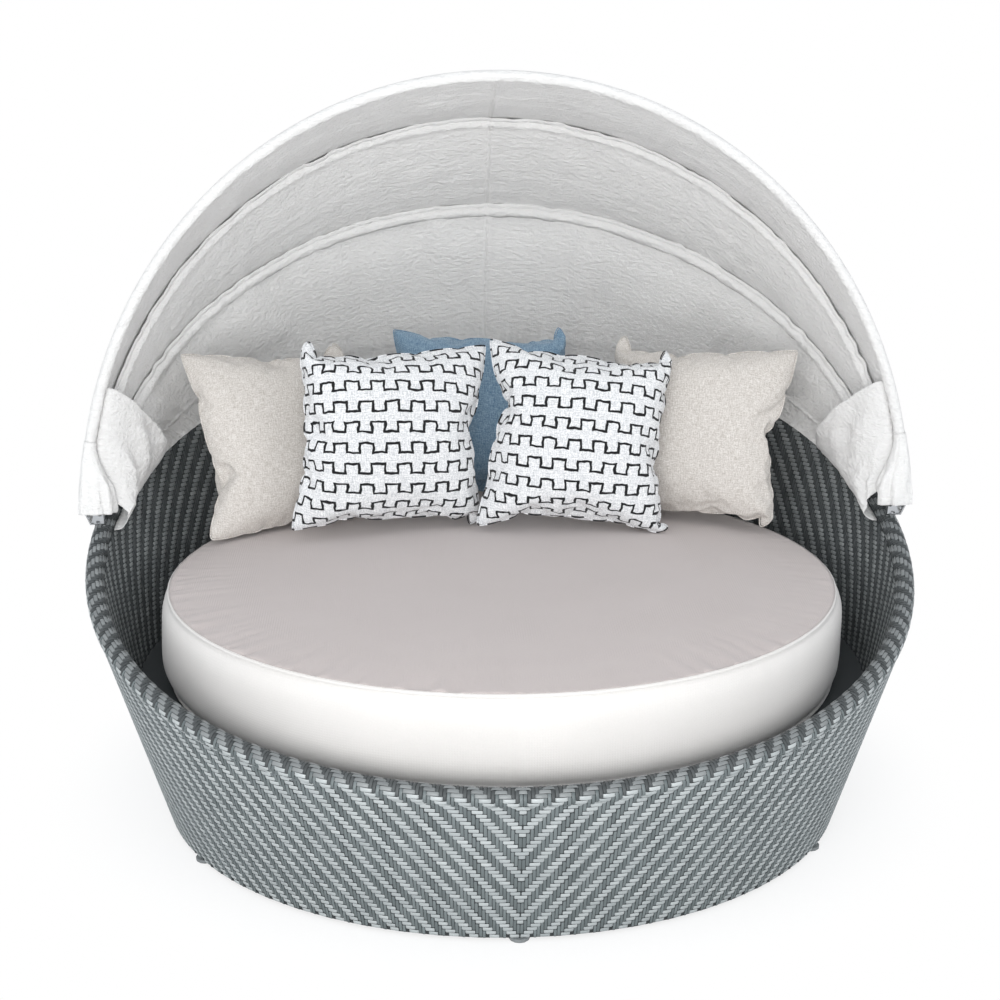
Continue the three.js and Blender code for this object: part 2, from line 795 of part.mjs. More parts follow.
function panelSolid(bow, first, sectionAt) {
  const last = bowSteps - first;
  const between = numbers(bowSteps).filter((station) => station > first && station < last);
  const rings = [first, ...between, last].map((station) => {
    const frame = stationFrame(bow, station);
    return panelSection(frame, ...sectionAt(frame, station));
  });
  const sheetCount = (rings[0].length - 2 * sleevePoints) / 2;
  const bore = numbers(sleevePoints, sleevePoints + 2 * sheetCount);
  const outline = numbers(sleevePoints + 2 * sheetCount);
  const above = numbers(sheetCount + 1, sleevePoints - 1);
  const below = [0, ...numbers(sheetCount, sleevePoints + sheetCount).reverse()];
  const caps = bore.map((hole, i) => {
    const next = (i + 1) % sleevePoints;
    return [i, next, bore[next], hole];
  });
  for (let k = 0; k < sheetCount; k++) caps.push([above[k], above[k + 1], below[k + 1], below[k]]);
  return loftSolid(rings, [outline, bore.slice().reverse()], caps, sleevePoints + sheetCount);
}

function bowPanel(bow, nextBow) {
  const reach = Math.sqrt(sleeveOuter ** 2 - sleeveInner ** 2) + clearance;
  return panelSolid(bow, panelStartShare * bowSteps, (frame, station) => {
    const next = stationFrame(nextBow, station);
    const end = next.at(sleeveOuter, -reach);
    const { leave, start } = sleeveSeam(frame, end);
    const sag = sagShare * start.distanceTo(end);
    return [leave, ...sheetFaces(start, frame.out, end, next.out, sag)];
  });
}

// Rear skirt: from the rear bow down to the inner side of the rolled rim, where its hem hangs.
// Every second section is drawn in, which gives the folds between the bow and the hem.
function skirtPanel(bow) {
  const face = rollRadius + clearance;
  const first = skirtStartShare * bowSteps;
  return panelSolid(bow, first, (frame, station) => {
    const share = (station - first) / (bowSteps - 2 * first);
    const angle = skirtStartAngle + share * (2 * Math.PI - 2 * skirtStartAngle);
    const rim = rimFrame(angle);
    const top = rim.at(-face, 0);
    const fold = station % 2 ? skirtFold : -skirtFold;
    const { leave, start } = sleeveSeam(frame, top);
    const [outer, inner] = sheetFaces(start, frame.out, top, rim.out, fold);
    const drop = hemDrop + (backHemDrop - hemDrop) * Math.sin(Math.PI * share) ** 2;
    outer.push(rim.at(-face, -drop));
    inner.push(rim.at(-face - clothThickness, -drop));
    return [leave, outer, inner];
  });
}

// Side flap: closes the corner between the front bow and the rim, over the other bows' ends
function sideFlap() {
  const flapRows = 8;
  const flapColumns = 8;
  const bow = bows[0];
  const firstAngle = hingeAngle + flapFirstTurn;
  const face = rollRadius + clearance;
  const seam = sleeveOuter + clearance + clothThickness;
  const grid = [];
  for (let i = 0; i <= flapRows; i++) {
    const along = i / flapRows;
    const frame = bowFrame(bow, bowParameter(bow, flapStart + along * (flapReach - flapStart)));
    const upper = frame.at(-seam * Math.SQRT1_2, seam * Math.SQRT1_2);
    const rim = rimFrame(firstAngle + along * (flapEndAngle - firstAngle));
    const lower = rim.at(-face, -hemDrop / 2);
    const row = [];
    for (let j = 0; j <= flapColumns; j++) {
      const down = j / flapColumns;
      const swell = flapBulge * Math.sqrt(Math.sin(Math.PI * down)) * Math.min(1, flapStartShare + along);
      row.push(upper.clone().lerp(lower, down).add(V(-swell, 0, 0)));
    }
    grid.push(row);
  }
  const outer = grid.flat();
  const inner = outer.map((point) => point.clone().add(V(-clothThickness, 0, 0)));
  const points = outer.concat(inner);
  const triangles = [];
  const columns = flapColumns + 1;
  const quad = (a, b, c, d) => triangles.push(a, b, c, a, c, d);
  for (let i = 0; i < flapRows; i++) {
    for (let j = 0; j < flapColumns; j++) {
      const a = i * columns + j;
      const cell = [a, a + 1, a + columns + 1, a + columns];
      quad(...cell);
      quad(...cell.map((k) => k + outer.length).reverse());
    }
  }
  const loop = [];
  for (let j = 0; j < flapColumns; j++) loop.push(j);
  for (let i = 0; i < flapRows; i++) loop.push(i * columns + flapColumns);
  for (let j = flapColumns; j > 0; j--) loop.push(flapRows * columns + j);
  for (let i = flapRows; i > 0; i--) loop.push(i * columns);
  loop.forEach((a, k) => {
    const b = loop[(k + 1) % loop.length];
    quad(b, a, a + outer.length, b + outer.length);
  });
  return solidGeometry(points, triangles);
}

// Finishes

function finish(color, roughness, metalness = 0) {
  return new THREE.MeshStandardMaterial({ color, roughness, metalness });
}

const wovenStrap = finish(0x7f8688, 0.5);
const strapBinding = finish(0x8d9496, 0.45);
const frameCoat = finish(0x55595a, 0.5, 0.3);
const deckMesh = finish(0x4c5052, 0.6);
const polishedSteel = finish(0xc9cbcc, 0.15, 1);
const bowAluminium = finish(0xb9bcbe, 0.35, 1);
const nylon = finish(0x2b2b2b, 0.5);
const canopyCloth = finish(0xe4e5e6, 0.9);
const seatCloth = finish(0xcdc5c2, 0.9);
const linenCloth = finish(0xcbc3b8, 0.9);
const patternCloth = finish(0xeceded, 0.9);
const blueCloth = finish(0x6f8ea6, 0.9);

// Assembly

const daybed = new THREE.Group();

function add(name, geometry, material, parent = daybed) {
  const mesh = new THREE.Mesh(geometry, material);
  mesh.name = name;
  parent.add(mesh);
  return mesh;
}

function addFrame() {
  add('base_hoop', cut(hoop(baseHoopRadius, baseHoopHeight), ...stemHoles()), frameCoat);
  add('deck_hoop', hoop(deckHoopRadius, deckHoopHeight), frameCoat);
  add('rim_hoop', cut(rimHoop(), ...screwHoles()), frameCoat);
  for (let i = 0; i < uprightCount; i++) {
    add(`upright_${i + 1}`, upright((2 * Math.PI * i) / uprightCount), frameCoat);
  }
  for (let i = 0; i < bearerCount; i++) {
    const place = (i - (bearerCount - 1) / 2) * bearerPitch;
    add(`deck_bearer_${i + 1}`, deckBearer(place), frameCoat);
  }
  glidePlaces().forEach((place, i) => {
    add(`floor_glide_${i + 1}`, glide(), nylon).position.copy(place);
  });
}

function addWeave() {
  add('outer_weave', outerWeave(), wovenStrap);
  add('inner_weave', innerWeave(), wovenStrap);
  add('rim_binding', cut(rimBinding(), ...screwHoles()), strapBinding);
  add('deck_panel', deckPanel(), deckMesh);
}

// Pillow places are shares of the cushion's radius; the angles are in degrees
const pillows = [
  { name: 'pillow_beige_left', placeShare: [-0.684, 0.57], lean: 23, turn: 31, roll: 2, cloth: linenCloth },
  { name: 'pillow_beige_right', placeShare: [0.646, 0.56], lean: 19, turn: -24, roll: 0, cloth: linenCloth },
  { name: 'pillow_blue', placeShare: [-0.026, 0.815], lean: 23.4, turn: -4, roll: 0, cloth: blueCloth },
  { name: 'pillow_pattern_left', placeShare: [-0.336, 0.42], lean: 12, turn: 17, roll: 4, cloth: patternCloth },
  { name: 'pillow_pattern_right', placeShare: [0.267, 0.44], lean: 21, turn: -2, roll: 5, cloth: patternCloth },
];

function addCushions() {
  add('seat_cushion', cushion(), seatCloth);
  pillows.forEach((pillow) => add(pillow.name, placedPillow(pillow), pillow.cloth));
}

function addHinge(side, shaped) {
  const hinge = new THREE.Group();
  hinge.position.set(0, pivotY, pivotZ);
  hinge.rotation.x = hingeSlope;
  daybed.add(hinge);
  add(`hinge_bracket_${side}`, shaped(bracket()), polishedSteel, hinge);
  add(`pivot_bolt_${side}`, shaped(pivotBolt()), polishedSteel, hinge);
  add(`lock_nut_${side}`, shaped(lockNut()), polishedSteel, hinge);
  add(`lug_spacer_${side}_outer`, shaped(lugSpacer(lugPlaces[0], lugPlaces[1])), nylon, hinge);
  add(`lug_spacer_${side}_inner`, shaped(lugSpacer(lugPlaces[1], lugPlaces[2])), nylon, hinge);
  const ends = ['front', 'rear'];
  screwPlaces().forEach((place, i) => {
    add(`bracket_screw_${side}_${ends[i]}`, shaped(bracketScrew(place)), polishedSteel, hinge);
  });
}

function addBows() {
  const names = ['front_bow', 'middle_bow', 'rear_bow'];
  bows.forEach((bow, i) => {
    const mesh = add(names[i], bowGeometry(bow), bowAluminium);
    mesh.position.set(0, pivotY, pivotZ);
    mesh.rotation.x = -bow.tilt;
  });
}

function addCanopyCloth() {
  add('canopy_front_panel', bowPanel(bows[0], bows[1]), canopyCloth);
  add('canopy_middle_panel', bowPanel(bows[1], bows[2]), canopyCloth);
  add('canopy_rear_skirt', skirtPanel(bows[2]), canopyCloth);
  const flap = sideFlap();
  add('side_flap_right', flap, canopyCloth);
  add('side_flap_left', mirrored(flap), canopyCloth);
}

addFrame();
addWeave();
addCushions();
addHinge('right', (geometry) => geometry);
addHinge('left', mirrored);
addBows();
addCanopyCloth();

// The origin is under the middle of the whole outline
const outline = new THREE.Box3().setFromObject(daybed, true);
daybed.position.y = -(outline.min.y + outline.max.y) / 2;

export default daybed;
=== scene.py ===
"""Looks of the outdoor daybed: woven tub, cloth canopy, seat cushion and pillows.

Metres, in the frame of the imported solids: +Z up, the low front faces -Y. Angles round the tub
start at the front and turn towards +X.
"""

import json
import math

import bmesh
import bpy
import numpy as np
from mathutils import Matrix, Vector


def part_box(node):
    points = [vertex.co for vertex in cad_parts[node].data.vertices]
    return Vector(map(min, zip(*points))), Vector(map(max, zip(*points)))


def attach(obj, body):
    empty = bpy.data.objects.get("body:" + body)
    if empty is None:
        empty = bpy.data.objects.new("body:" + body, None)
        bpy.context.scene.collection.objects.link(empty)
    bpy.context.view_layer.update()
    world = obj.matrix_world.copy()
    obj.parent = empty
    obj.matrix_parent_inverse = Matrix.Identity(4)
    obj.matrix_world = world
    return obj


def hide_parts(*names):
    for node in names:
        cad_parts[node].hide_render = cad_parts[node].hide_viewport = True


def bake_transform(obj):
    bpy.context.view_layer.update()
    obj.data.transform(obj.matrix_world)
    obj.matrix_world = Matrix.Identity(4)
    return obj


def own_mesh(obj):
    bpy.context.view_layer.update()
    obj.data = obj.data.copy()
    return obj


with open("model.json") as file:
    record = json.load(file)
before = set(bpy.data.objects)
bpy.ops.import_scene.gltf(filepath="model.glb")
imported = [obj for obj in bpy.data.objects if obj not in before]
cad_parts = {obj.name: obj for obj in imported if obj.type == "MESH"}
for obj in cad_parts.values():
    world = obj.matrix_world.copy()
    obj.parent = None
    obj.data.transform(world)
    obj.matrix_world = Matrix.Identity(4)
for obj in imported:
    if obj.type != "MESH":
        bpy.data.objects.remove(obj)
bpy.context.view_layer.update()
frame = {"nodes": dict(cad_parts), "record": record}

# Sizes of the solids that the pieces here follow
TUB_RADIUS = 0.732
WALL_LEAN = math.radians(17.5)
RIM_FRONT, RIM_SIDE, RIM_BACK = 0.332, 0.520, 0.850
WALL_THICKNESS = 0.0336
WALL_MIDDLE = WALL_THICKNESS / 2
ROLL_RADIUS = 0.0188
WEAVE_BOTTOM = 0.0083
DECK_TOP = 0.295
BOW_RADIUS = 0.0095
BOW_RISE = 0.936
BOW_DROP = 0.014
BOW_OUTSET = 0.034
BOW_NEST = 0.020
BOW_TILT = math.radians(6.5)
BOW_SPACING = math.radians(22.1)
HINGE_ANGLE = math.radians(99.9)
CUSHION_GAP = 0.067
CUSHION_BOTTOM = 0.2953
CUSHION_TOP = 0.4953
CUSHION_CROWN = 0.020
CUSHION_BULGE = 0.012
PIPING_RADIUS = 0.0036
PILLOW_SIZE = 0.43
PILLOW_THICKNESS = 0.135

deck_low, deck_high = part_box("deck_panel")
TUB_Y = (deck_low.y + deck_high.y) / 2
spacer_low, spacer_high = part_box("lug_spacer_right_inner")
PIVOT_Y = (spacer_low.y + spacer_high.y) / 2
PIVOT_Z = (spacer_low.z + spacer_high.z) / 2


# Geometry helpers


NOISE_CELLS = 128


def smooth_noise(u, v, seed):
    """Soft random values from -1 to 1 over a plane whose grid cells have size 1."""
    table = np.random.default_rng(seed).uniform(-1, 1, (NOISE_CELLS, NOISE_CELLS))
    u, v = np.broadcast_arrays(u, v)
    column, row = np.floor(u).astype(int), np.floor(v).astype(int)
    across, up = u - column, v - row
    across, up = across**2 * (3 - 2 * across), up**2 * (3 - 2 * up)
    corner = [table[(column + a) % NOISE_CELLS, (row + b) % NOISE_CELLS]
              for a, b in ((0, 0), (1, 0), (0, 1), (1, 1))]
    low = corner[0] * (1 - across) + corner[1] * across
    high = corner[2] * (1 - across) + corner[3] * across
    return low * (1 - up) + high * up


def fade(value, start, end):
    """Share from 0 to 1 that eases in and out between start and end."""
    share = np.clip((value - start) / (end - start), 0, 1)
    return share * share * (3 - 2 * share)


def ridge(value, place, width):
    """Bell-shaped rise of height 1 round a place."""
    return np.exp(-((value - place) / width) ** 2)


def unit(vectors):
    """The same directions at length 1."""
    return vectors / np.linalg.norm(vectors, axis=-1, keepdims=True)


def run_lengths(points):
    """Distance along a row of points, from its first one."""
    return np.concatenate([[0], np.cumsum(np.linalg.norm(np.diff(points, axis=0), axis=-1))])


def grid_quads(rows, columns, wrap_columns=False):
    """Quads between the points of a grid, as point numbers."""
    i = np.arange(rows - 1)[:, None]
    j = np.arange(columns if wrap_columns else columns - 1)[None, :]
    j2 = (j + 1) % columns
    corners = [i * columns + j, i * columns + j2, (i + 1) * columns + j2, (i + 1) * columns + j]
    return np.stack(np.broadcast_arrays(*corners), -1).reshape(-1, 4)


def new_piece(name, points, faces, materials, face_material=None):
    """Smooth-shaded mesh object from arrays of points and of faces with equally many corners."""
    mesh = bpy.data.meshes.new(name)
    mesh.vertices.add(len(points))
    mesh.vertices.foreach_set("co", np.asarray(points, np.float32).ravel())
    count, corners = faces.shape
    mesh.loops.add(count * corners)
    mesh.loops.foreach_set("vertex_index", faces.astype(np.int32).ravel())
    mesh.polygons.add(count)
    mesh.polygons.foreach_set("loop_start", np.arange(0, count * corners, corners, dtype=np.int32))
    for material in materials:
        mesh.materials.append(material)
    if face_material is not None:
        mesh.polygons.foreach_set("material_index", face_material.astype(np.int32))
    mesh.polygons.foreach_set("use_smooth", np.full(count, True))
    mesh.update(calc_edges=True)
    piece = bpy.data.objects.new(name, mesh)
    bpy.context.scene.collection.objects.link(piece)
    return piece


def set_values(piece, name, values, kind="FLOAT"):
    """Values at the mesh's points that a material reads by name."""
    layer = piece.data.attributes.new(name, kind, "POINT")
    values = np.asarray(values, np.float32).ravel()
    layer.data.foreach_set("vector" if kind == "FLOAT_VECTOR" else "value", values)


CLOTH = 0.0011


def thicken(piece):
    """Gives a sheet the thickness of the canopy cloth, half of it on each side."""
    solid = piece.modifiers.new("cloth thickness", "SOLIDIFY")
    solid.thickness = CLOTH
    solid.offset = 0.0


# Tub shape


def around(angle, radius, height):
    """Points at an angle round the tub's axis."""
    angle, radius, height = np.broadcast_arrays(angle, radius, height)
    return np.stack([radius * np.sin(angle), TUB_Y - radius * np.cos(angle), height], -1)


def wall_radius(height, depth):
    """Radius of the flared wall at a height, and at a depth under its outer face."""
    return TUB_RADIUS + math.tan(WALL_LEAN) * height - depth / math.cos(WALL_LEAN)


def rim_height(angle):
    """Height of the rolled rim's middle, low at the front and high at the back."""
    mean = (RIM_FRONT + RIM_BACK) / 2
    rise = (RIM_BACK - RIM_FRONT) * (1 - np.cos(angle)) / 2
    return RIM_FRONT + rise + (RIM_SIDE - mean) * np.sin(angle) ** 2


def rim_frame(angle):
    """Centre of the rolled rim with its outward and upward directions."""
    step = math.radians(0.5)

    def centre(turn):
        return around(turn, wall_radius(rim_height(turn), WALL_MIDDLE), rim_height(turn))

    along = unit(centre(angle + step) - centre(angle - step))
    out = around(angle, math.cos(WALL_LEAN), -math.sin(WALL_LEAN)) - np.array([0, TUB_Y, 0])
    out = unit(out - along * np.sum(out * along, -1, keepdims=True))
    up = unit(np.cross(out, along))
    up *= np.sign(up[..., 2:3])
    return centre(angle), out, up


CUSHION_RADIUS = float(wall_radius(CUSHION_BOTTOM, WALL_THICKNESS)) - CUSHION_GAP
BOW_HALF_WIDTH = float(rim_frame(np.array(HINGE_ANGLE))[0][0]) + BOW_OUTSET


# Materials


def srgb(code):
    """Linear colour of a hex code as the eye sees it on a screen."""
    channels = [int(code[i:i + 2], 16) / 255 for i in (1, 3, 5)]
    linear = [c / 12.92 if c <= 0.04045 else ((c + 0.055) / 1.055) ** 2.4 for c in channels]
    return (*linear, 1.0)


def add_node(tree, kind, inputs=None, output=0, **settings):
    """Adds a node with its settings and gives one of its outputs. Each input is a value, or
    another node's output, which is linked."""
    node = tree.nodes.new("ShaderNode" + kind)
    for name, value in settings.items():
        setattr(node, name, value)
    for key, value in (inputs or {}).items():
        if isinstance(value, bpy.types.NodeSocket):
            tree.links.new(value, node.inputs[key])
        else:
            node.inputs[key].default_value = value
    return node.outputs[output] if node.outputs else None


def new_material(name, roughness, metallic=0.0, specular=0.5, sheen=0.0):
    """Material with its node tree and the inputs of its surface shader."""
    material = bpy.data.materials.new(name)
    material.use_nodes = True
    surface = material.node_tree.nodes["Principled BSDF"].inputs
    surface["Roughness"].default_value = roughness
    surface["Metallic"].default_value = metallic
    surface["Specular IOR Level"].default_value = specular
    surface["Sheen Weight"].default_value = sheen
    surface["Sheen Roughness"].default_value = 0.6
    return material, material.node_tree, surface


def scaled_colour(code, factor):
    """Linear colour of a hex code with its brightness times a factor."""
    return (*[channel * factor for channel in srgb(code)[:3]], 1.0)


def strap_material(name, low, high, roughness, specular):
    """Flat extruded strap: a grain of about 1 mm, and a tone that changes from strap to strap."""
    material, tree, surface = new_material(name, roughness, specular=specular)
    tone = add_node(tree, "Attribute", output="Fac", attribute_name="strap_tone")
    colour = add_node(tree, "Mix", {0: tone, 6: srgb(low), 7: srgb(high)}, 2, data_type="RGBA")
    place = add_node(tree, "TexCoord", output="Object")
    grain = add_node(tree, "TexNoise", {"Vector": place, "Scale": 900.0, "Detail": 2.0})
    relief = add_node(tree, "Bump", {"Height": grain, "Distance": 0.0002, "Strength": 0.6})
    tree.links.new(colour, surface["Base Color"])
    tree.links.new(relief, surface["Normal"])
    return material


def coat_material(name, colour, roughness, metallic=0.0):
    """Powder coat or moulded plastic: an orange-peel surface of about 0.7 mm."""
    material, tree, surface = new_material(name, roughness, metallic)
    place = add_node(tree, "TexCoord", output="Object")
    clouds = add_node(tree, "TexNoise", {"Vector": place, "Scale": 30.0})
    tint = add_node(tree, "Mix", {0: clouds, 6: srgb(colour), 7: scaled_colour(colour, 1.12)}, 2,
                    data_type="RGBA")
    peel = add_node(tree, "TexNoise", {"Vector": place, "Scale": 1400.0})
    relief = add_node(tree, "Bump", {"Height": peel, "Distance": 0.00005, "Strength": 0.5})
    tree.links.new(tint, surface["Base Color"])
    tree.links.new(relief, surface["Normal"])
    return material


def steel_material(name, colour, roughness):
    """Polished metal with faint wiping marks in its gloss."""
    material, tree, surface = new_material(name, roughness, metallic=1.0)
    place = add_node(tree, "TexCoord", output="Object")
    wiped = add_node(tree, "Mapping", {"Vector": place, "Scale": (1, 1, 12)})
    marks = add_node(tree, "TexNoise", {"Vector": wiped, "Scale": 60.0, "Detail": 5.0})
    tint = add_node(tree, "Mix", {0: marks, 6: srgb(colour), 7: scaled_colour(colour, 0.85)}, 2,
                    data_type="RGBA")
    spread = add_node(tree, "MapRange", {"Value": marks, "To Min": roughness * 0.7,
                                         "To Max": roughness * 1.5})
    tree.links.new(tint, surface["Base Color"])
    tree.links.new(spread, surface["Roughness"])
    return material


# The wave texture turns by 20 radians in each unit of its space
WAVE_TURN = 20
THREAD_HEIGHT = 0.00025


def cloth_relief(tree, surface, place, pitch, axes, extra):
    """Plain weave along two axes, over some larger relief. The real threads are one pitch apart,
    too fine to show, so one wave of the relief stands for 2 pi of them."""
    scale = 1 / (pitch * WAVE_TURN)
    threads = [
        add_node(tree, "TexWave", {"Vector": place, "Scale": scale, "Distortion": 0.6}, "Fac",
                 wave_type="BANDS", bands_direction=axis)
        for axis in axes]
    woven = add_node(tree, "Math", dict(enumerate(threads)), operation="MAXIMUM")
    height = add_node(tree, "Math", {0: woven, 1: THREAD_HEIGHT, 2: extra}, operation="MULTIPLY_ADD")
    relief = add_node(tree, "Bump", {"Height": height, "Distance": 1.0, "Strength": 0.8})
    tree.links.new(relief, surface["Normal"])


def cloth_material(name, low, high, pitch, crinkle=0.0, stretch=(1, 1, 1)):
    """Woven cloth: relief of its threads, flecks of about 4 mm in its colour and, where it is
    set, dry crinkles about 18 mm apart."""
    material, tree, surface = new_material(name, 0.95, specular=0.15, sheen=0.25)
    place = add_node(tree, "TexCoord", output="Object")
    flecks = add_node(tree, "TexNoise", {"Vector": place, "Scale": 260.0, "Detail": 4.0,
                                         "Roughness": 0.7})
    clouds = add_node(tree, "TexNoise", {"Vector": place, "Scale": 7.0, "Detail": 3.0})
    share = add_node(tree, "Mix", {"Factor": 0.35, "A": flecks, "B": clouds})
    colour = add_node(tree, "Mix", {0: share, 6: srgb(low), 7: srgb(high)}, 2, data_type="RGBA")
    tree.links.new(colour, surface["Base Color"])
    along = add_node(tree, "Mapping", {"Vector": place, "Scale": stretch})
    folds = add_node(tree, "TexNoise", {"Vector": along, "Scale": 55.0, "Detail": 5.0,
                                        "Roughness": 0.6})
    crinkles = add_node(tree, "Math", {0: folds, 1: crinkle}, operation="MULTIPLY")
    cloth_relief(tree, surface, place, pitch, "XZ", crinkles)
    return material


# Length and width of the uneven places in the yarn, and the spacing of its threads
YARN_LENGTH, YARN_WIDTH = 0.016, 0.0016
YARN_PITCH = 0.0013


def heathered_cover(name, low, high):
    """Pillow cover of uneven yarn: slubs along both threads, soft flecks and fuzz. Gives the
    material with its tree, its inputs, the place on the flat cover and the cover's colour."""
    material, tree, surface = new_material(name, 0.95, specular=0.15, sheen=0.25)
    place = add_node(tree, "Attribute", output="Vector", attribute_name="cover_place")
    slubs = []
    for scale in ((1 / YARN_LENGTH, 1 / YARN_WIDTH, 1), (1 / YARN_WIDTH, 1 / YARN_LENGTH, 1)):
        yarn = add_node(tree, "Mapping", {"Vector": place, "Scale": scale})
        slubs.append(add_node(tree, "TexNoise", {"Vector": yarn, "Scale": 1.0, "Detail": 2.0}))
    yarns = add_node(tree, "Mix", {"Factor": 0.5, "A": slubs[0], "B": slubs[1]})
    flecks = add_node(tree, "TexNoise", {"Vector": place, "Scale": 330.0, "Roughness": 0.7})
    share = add_node(tree, "Mix", {"Factor": 0.6, "A": flecks, "B": yarns})
    spread = add_node(tree, "MapRange", {"Value": share, "From Min": 0.40, "From Max": 0.60})
    colour = add_node(tree, "Mix", {0: spread, 6: srgb(low), 7: srgb(high)}, 2, data_type="RGBA")
    tree.links.new(colour, surface["Base Color"])
    raised = add_node(tree, "Math", {0: yarns, 1: 0.0005}, operation="MULTIPLY")
    cloth_relief(tree, surface, place, YARN_PITCH, "XY", raised)
    return material, tree, surface, place, colour


# Stepped lines: length of one step up and down, distance between rows, half a riser's height,
# half the line's width with its soft edge, how far odd rows are shifted, unsteadiness of the hand
STEP_WIDTH, STEP_PITCH, STEP_HEIGHT = 0.0495, 0.0425, 0.0095
STEP_LINE, STEP_LINE_EDGE = 0.0021, 0.0008
STEP_SHIFT = 0.9 * math.pi
STEP_WOBBLE = 0.009


def stepped_line_cover(name, low, high, ink):
    """The heathered cover with rows of one dark line each, which climbs and falls in square
    steps. The line is where the distance to the nearest level or riser is small."""
    material, tree, surface, place, ground = heathered_cover(name, low, high)
    drift = add_node(tree, "TexNoise", {"Vector": place, "Scale": 55.0, "Detail": 1.0}, "Color")
    drift = add_node(tree, "VectorMath", {0: drift, 1: (0.5, 0.5, 0.5)}, operation="SUBTRACT")
    drawn = add_node(tree, "VectorMath", {0: drift, 1: (STEP_WOBBLE,) * 3, 2: place},
                     operation="MULTIPLY_ADD")
    across = add_node(tree, "SeparateXYZ", {0: drawn}, "X")
    upwards = add_node(tree, "SeparateXYZ", {0: drawn}, "Y")
    row = add_node(tree, "Math", {0: upwards, 1: STEP_PITCH}, operation="DIVIDE")
    row_number = add_node(tree, "Math", {0: row}, operation="FLOOR")
    row_share = add_node(tree, "Math", {0: row}, operation="FRACT")
    off_middle = add_node(tree, "Math", {0: row_share, 1: 0.5}, operation="SUBTRACT")
    odd = add_node(tree, "Math", {0: row_number, 1: 2.0}, operation="FLOORED_MODULO")
    shift = add_node(tree, "Math", {0: odd, 1: STEP_SHIFT}, operation="MULTIPLY")
    steps = 2 * math.pi / STEP_WIDTH
    turn = add_node(tree, "Math", {0: across, 1: steps, 2: shift}, operation="MULTIPLY_ADD")
    wave = add_node(tree, "Math", {0: turn}, operation="SINE")
    upper = add_node(tree, "Math", {0: wave}, operation="SIGN")
    height = add_node(tree, "Math", {0: off_middle, 1: STEP_PITCH}, operation="MULTIPLY")
    level = add_node(tree, "Math", {0: upper, 1: STEP_HEIGHT}, operation="MULTIPLY")
    off_level = add_node(tree, "Math", {0: height, 1: level}, operation="SUBTRACT")
    off_level = add_node(tree, "Math", {0: off_level}, operation="ABSOLUTE")
    off_riser = add_node(tree, "Math", {0: wave}, operation="ABSOLUTE")
    off_riser = add_node(tree, "Math", {0: off_riser, 1: steps}, operation="DIVIDE")
    past_riser = add_node(tree, "Math", {0: height}, operation="ABSOLUTE")
    past_riser = add_node(tree, "Math", {0: past_riser, 1: STEP_HEIGHT}, operation="SUBTRACT")
    off_riser = add_node(tree, "Math", {0: off_riser, 1: past_riser}, operation="MAXIMUM")
    distance = add_node(tree, "Math", {0: off_level, 1: off_riser}, operation="MINIMUM")
    line = add_node(tree, "MapRange", {"Value": distance, "From Min": STEP_LINE,
                                       "From Max": STEP_LINE + STEP_LINE_EDGE,
                                       "To Min": 1.0, "To Max": 0.0})
    colour = add_node(tree, "Mix", {0: line, 6: ground, 7: srgb(ink)}, 2, data_type="RGBA")
    tree.links.new(colour, surface["Base Color"])
    return material


# Flat polyethylene strap, extruded and satin: the paler weft floats catch the light in long soft
# highlights, and the darker warp floats between them make the diagonal lines
weft_strap = strap_material("weft strap, grey satin", "#979D9E", "#BABFBF", 0.33, 0.65)
warp_strap = strap_material("warp strap, slate grey", "#5A6263", "#757D7E", 0.4, 0.5)
# Darker copies of the same two straps for the inside of the tub: painted shade, for the shade that falls
# inside the wall
inner_weft_painted_shade = strap_material("inner weft strap, darkened for painted shade", "#6C7071", "#8F9393", 0.34, 0.5)
inner_warp_painted_shade = strap_material("inner warp strap, darkened for painted shade", "#3E4243", "#545859", 0.5, 0.4)
# Painted shade: the solids behind the straps are coloured dull and nearly black, standing in for the shade
# that shows in the gaps between them
weave_shadow = coat_material("painted shade behind the weave", "#303435", 0.8)
# Aluminium tube with a grey powder coat: matt, with a slight sparkle
frame_coat = coat_material("grey powder coat", "#55595A", 0.5, 0.2)
# Deck panel of the same strap, dull, painted nearly black as painted shade for its place under the cushion
deck_strap_painted_shade = coat_material("deck strap panel in painted shade", "#3A3E40", 0.7)
# Stainless steel, polished: mirrors the room, a little wiped
polished_steel = steel_material("polished steel", "#D5D6D7", 0.12)
# Anodised aluminium tube of the bows: softer highlights than the steel
bow_metal = steel_material("satin bow tube", "#B9BCBE", 0.32)
# Moulded nylon glides and nuts: an even, slightly waxy grey
grey_nylon = coat_material("grey nylon", "#7A7E7F", 0.55)
# Woven solution-dyed acrylic, off-white: dry and matt, with a faint halo and fine crinkles
canopy_cloth = cloth_material("off-white canopy cloth", "#E8E7E5", "#F5F4F2", 0.0009, crinkle=0.0095,
                              stretch=(1, 2.2, 2.2))
# Seat cover of spun polyester: a warm greige top panel. The boxing and piping are the same cloth painted
# paler: painted light on the cushion's sides
seat_cloth = cloth_material("greige seat cloth", "#B8AEAB", "#C6BDBA", 0.0008)
boxing_painted_light = cloth_material("boxing cloth painted paler", "#D9D6D2", "#E5E2DF", 0.0008)
# Pillow covers of coarse uneven yarn, in beige, dusty blue and white with dark stepped lines
linen_cloth = heathered_cover("beige linen", "#B7B0A8", "#E4E0DB")[0]
blue_cloth = heathered_cover("dusty blue weave", "#537693", "#9DB6C8")[0]
pattern_cloth = stepped_line_cover("white cloth with stepped lines", "#BABDC0", "#FAFAFA", "#141416")


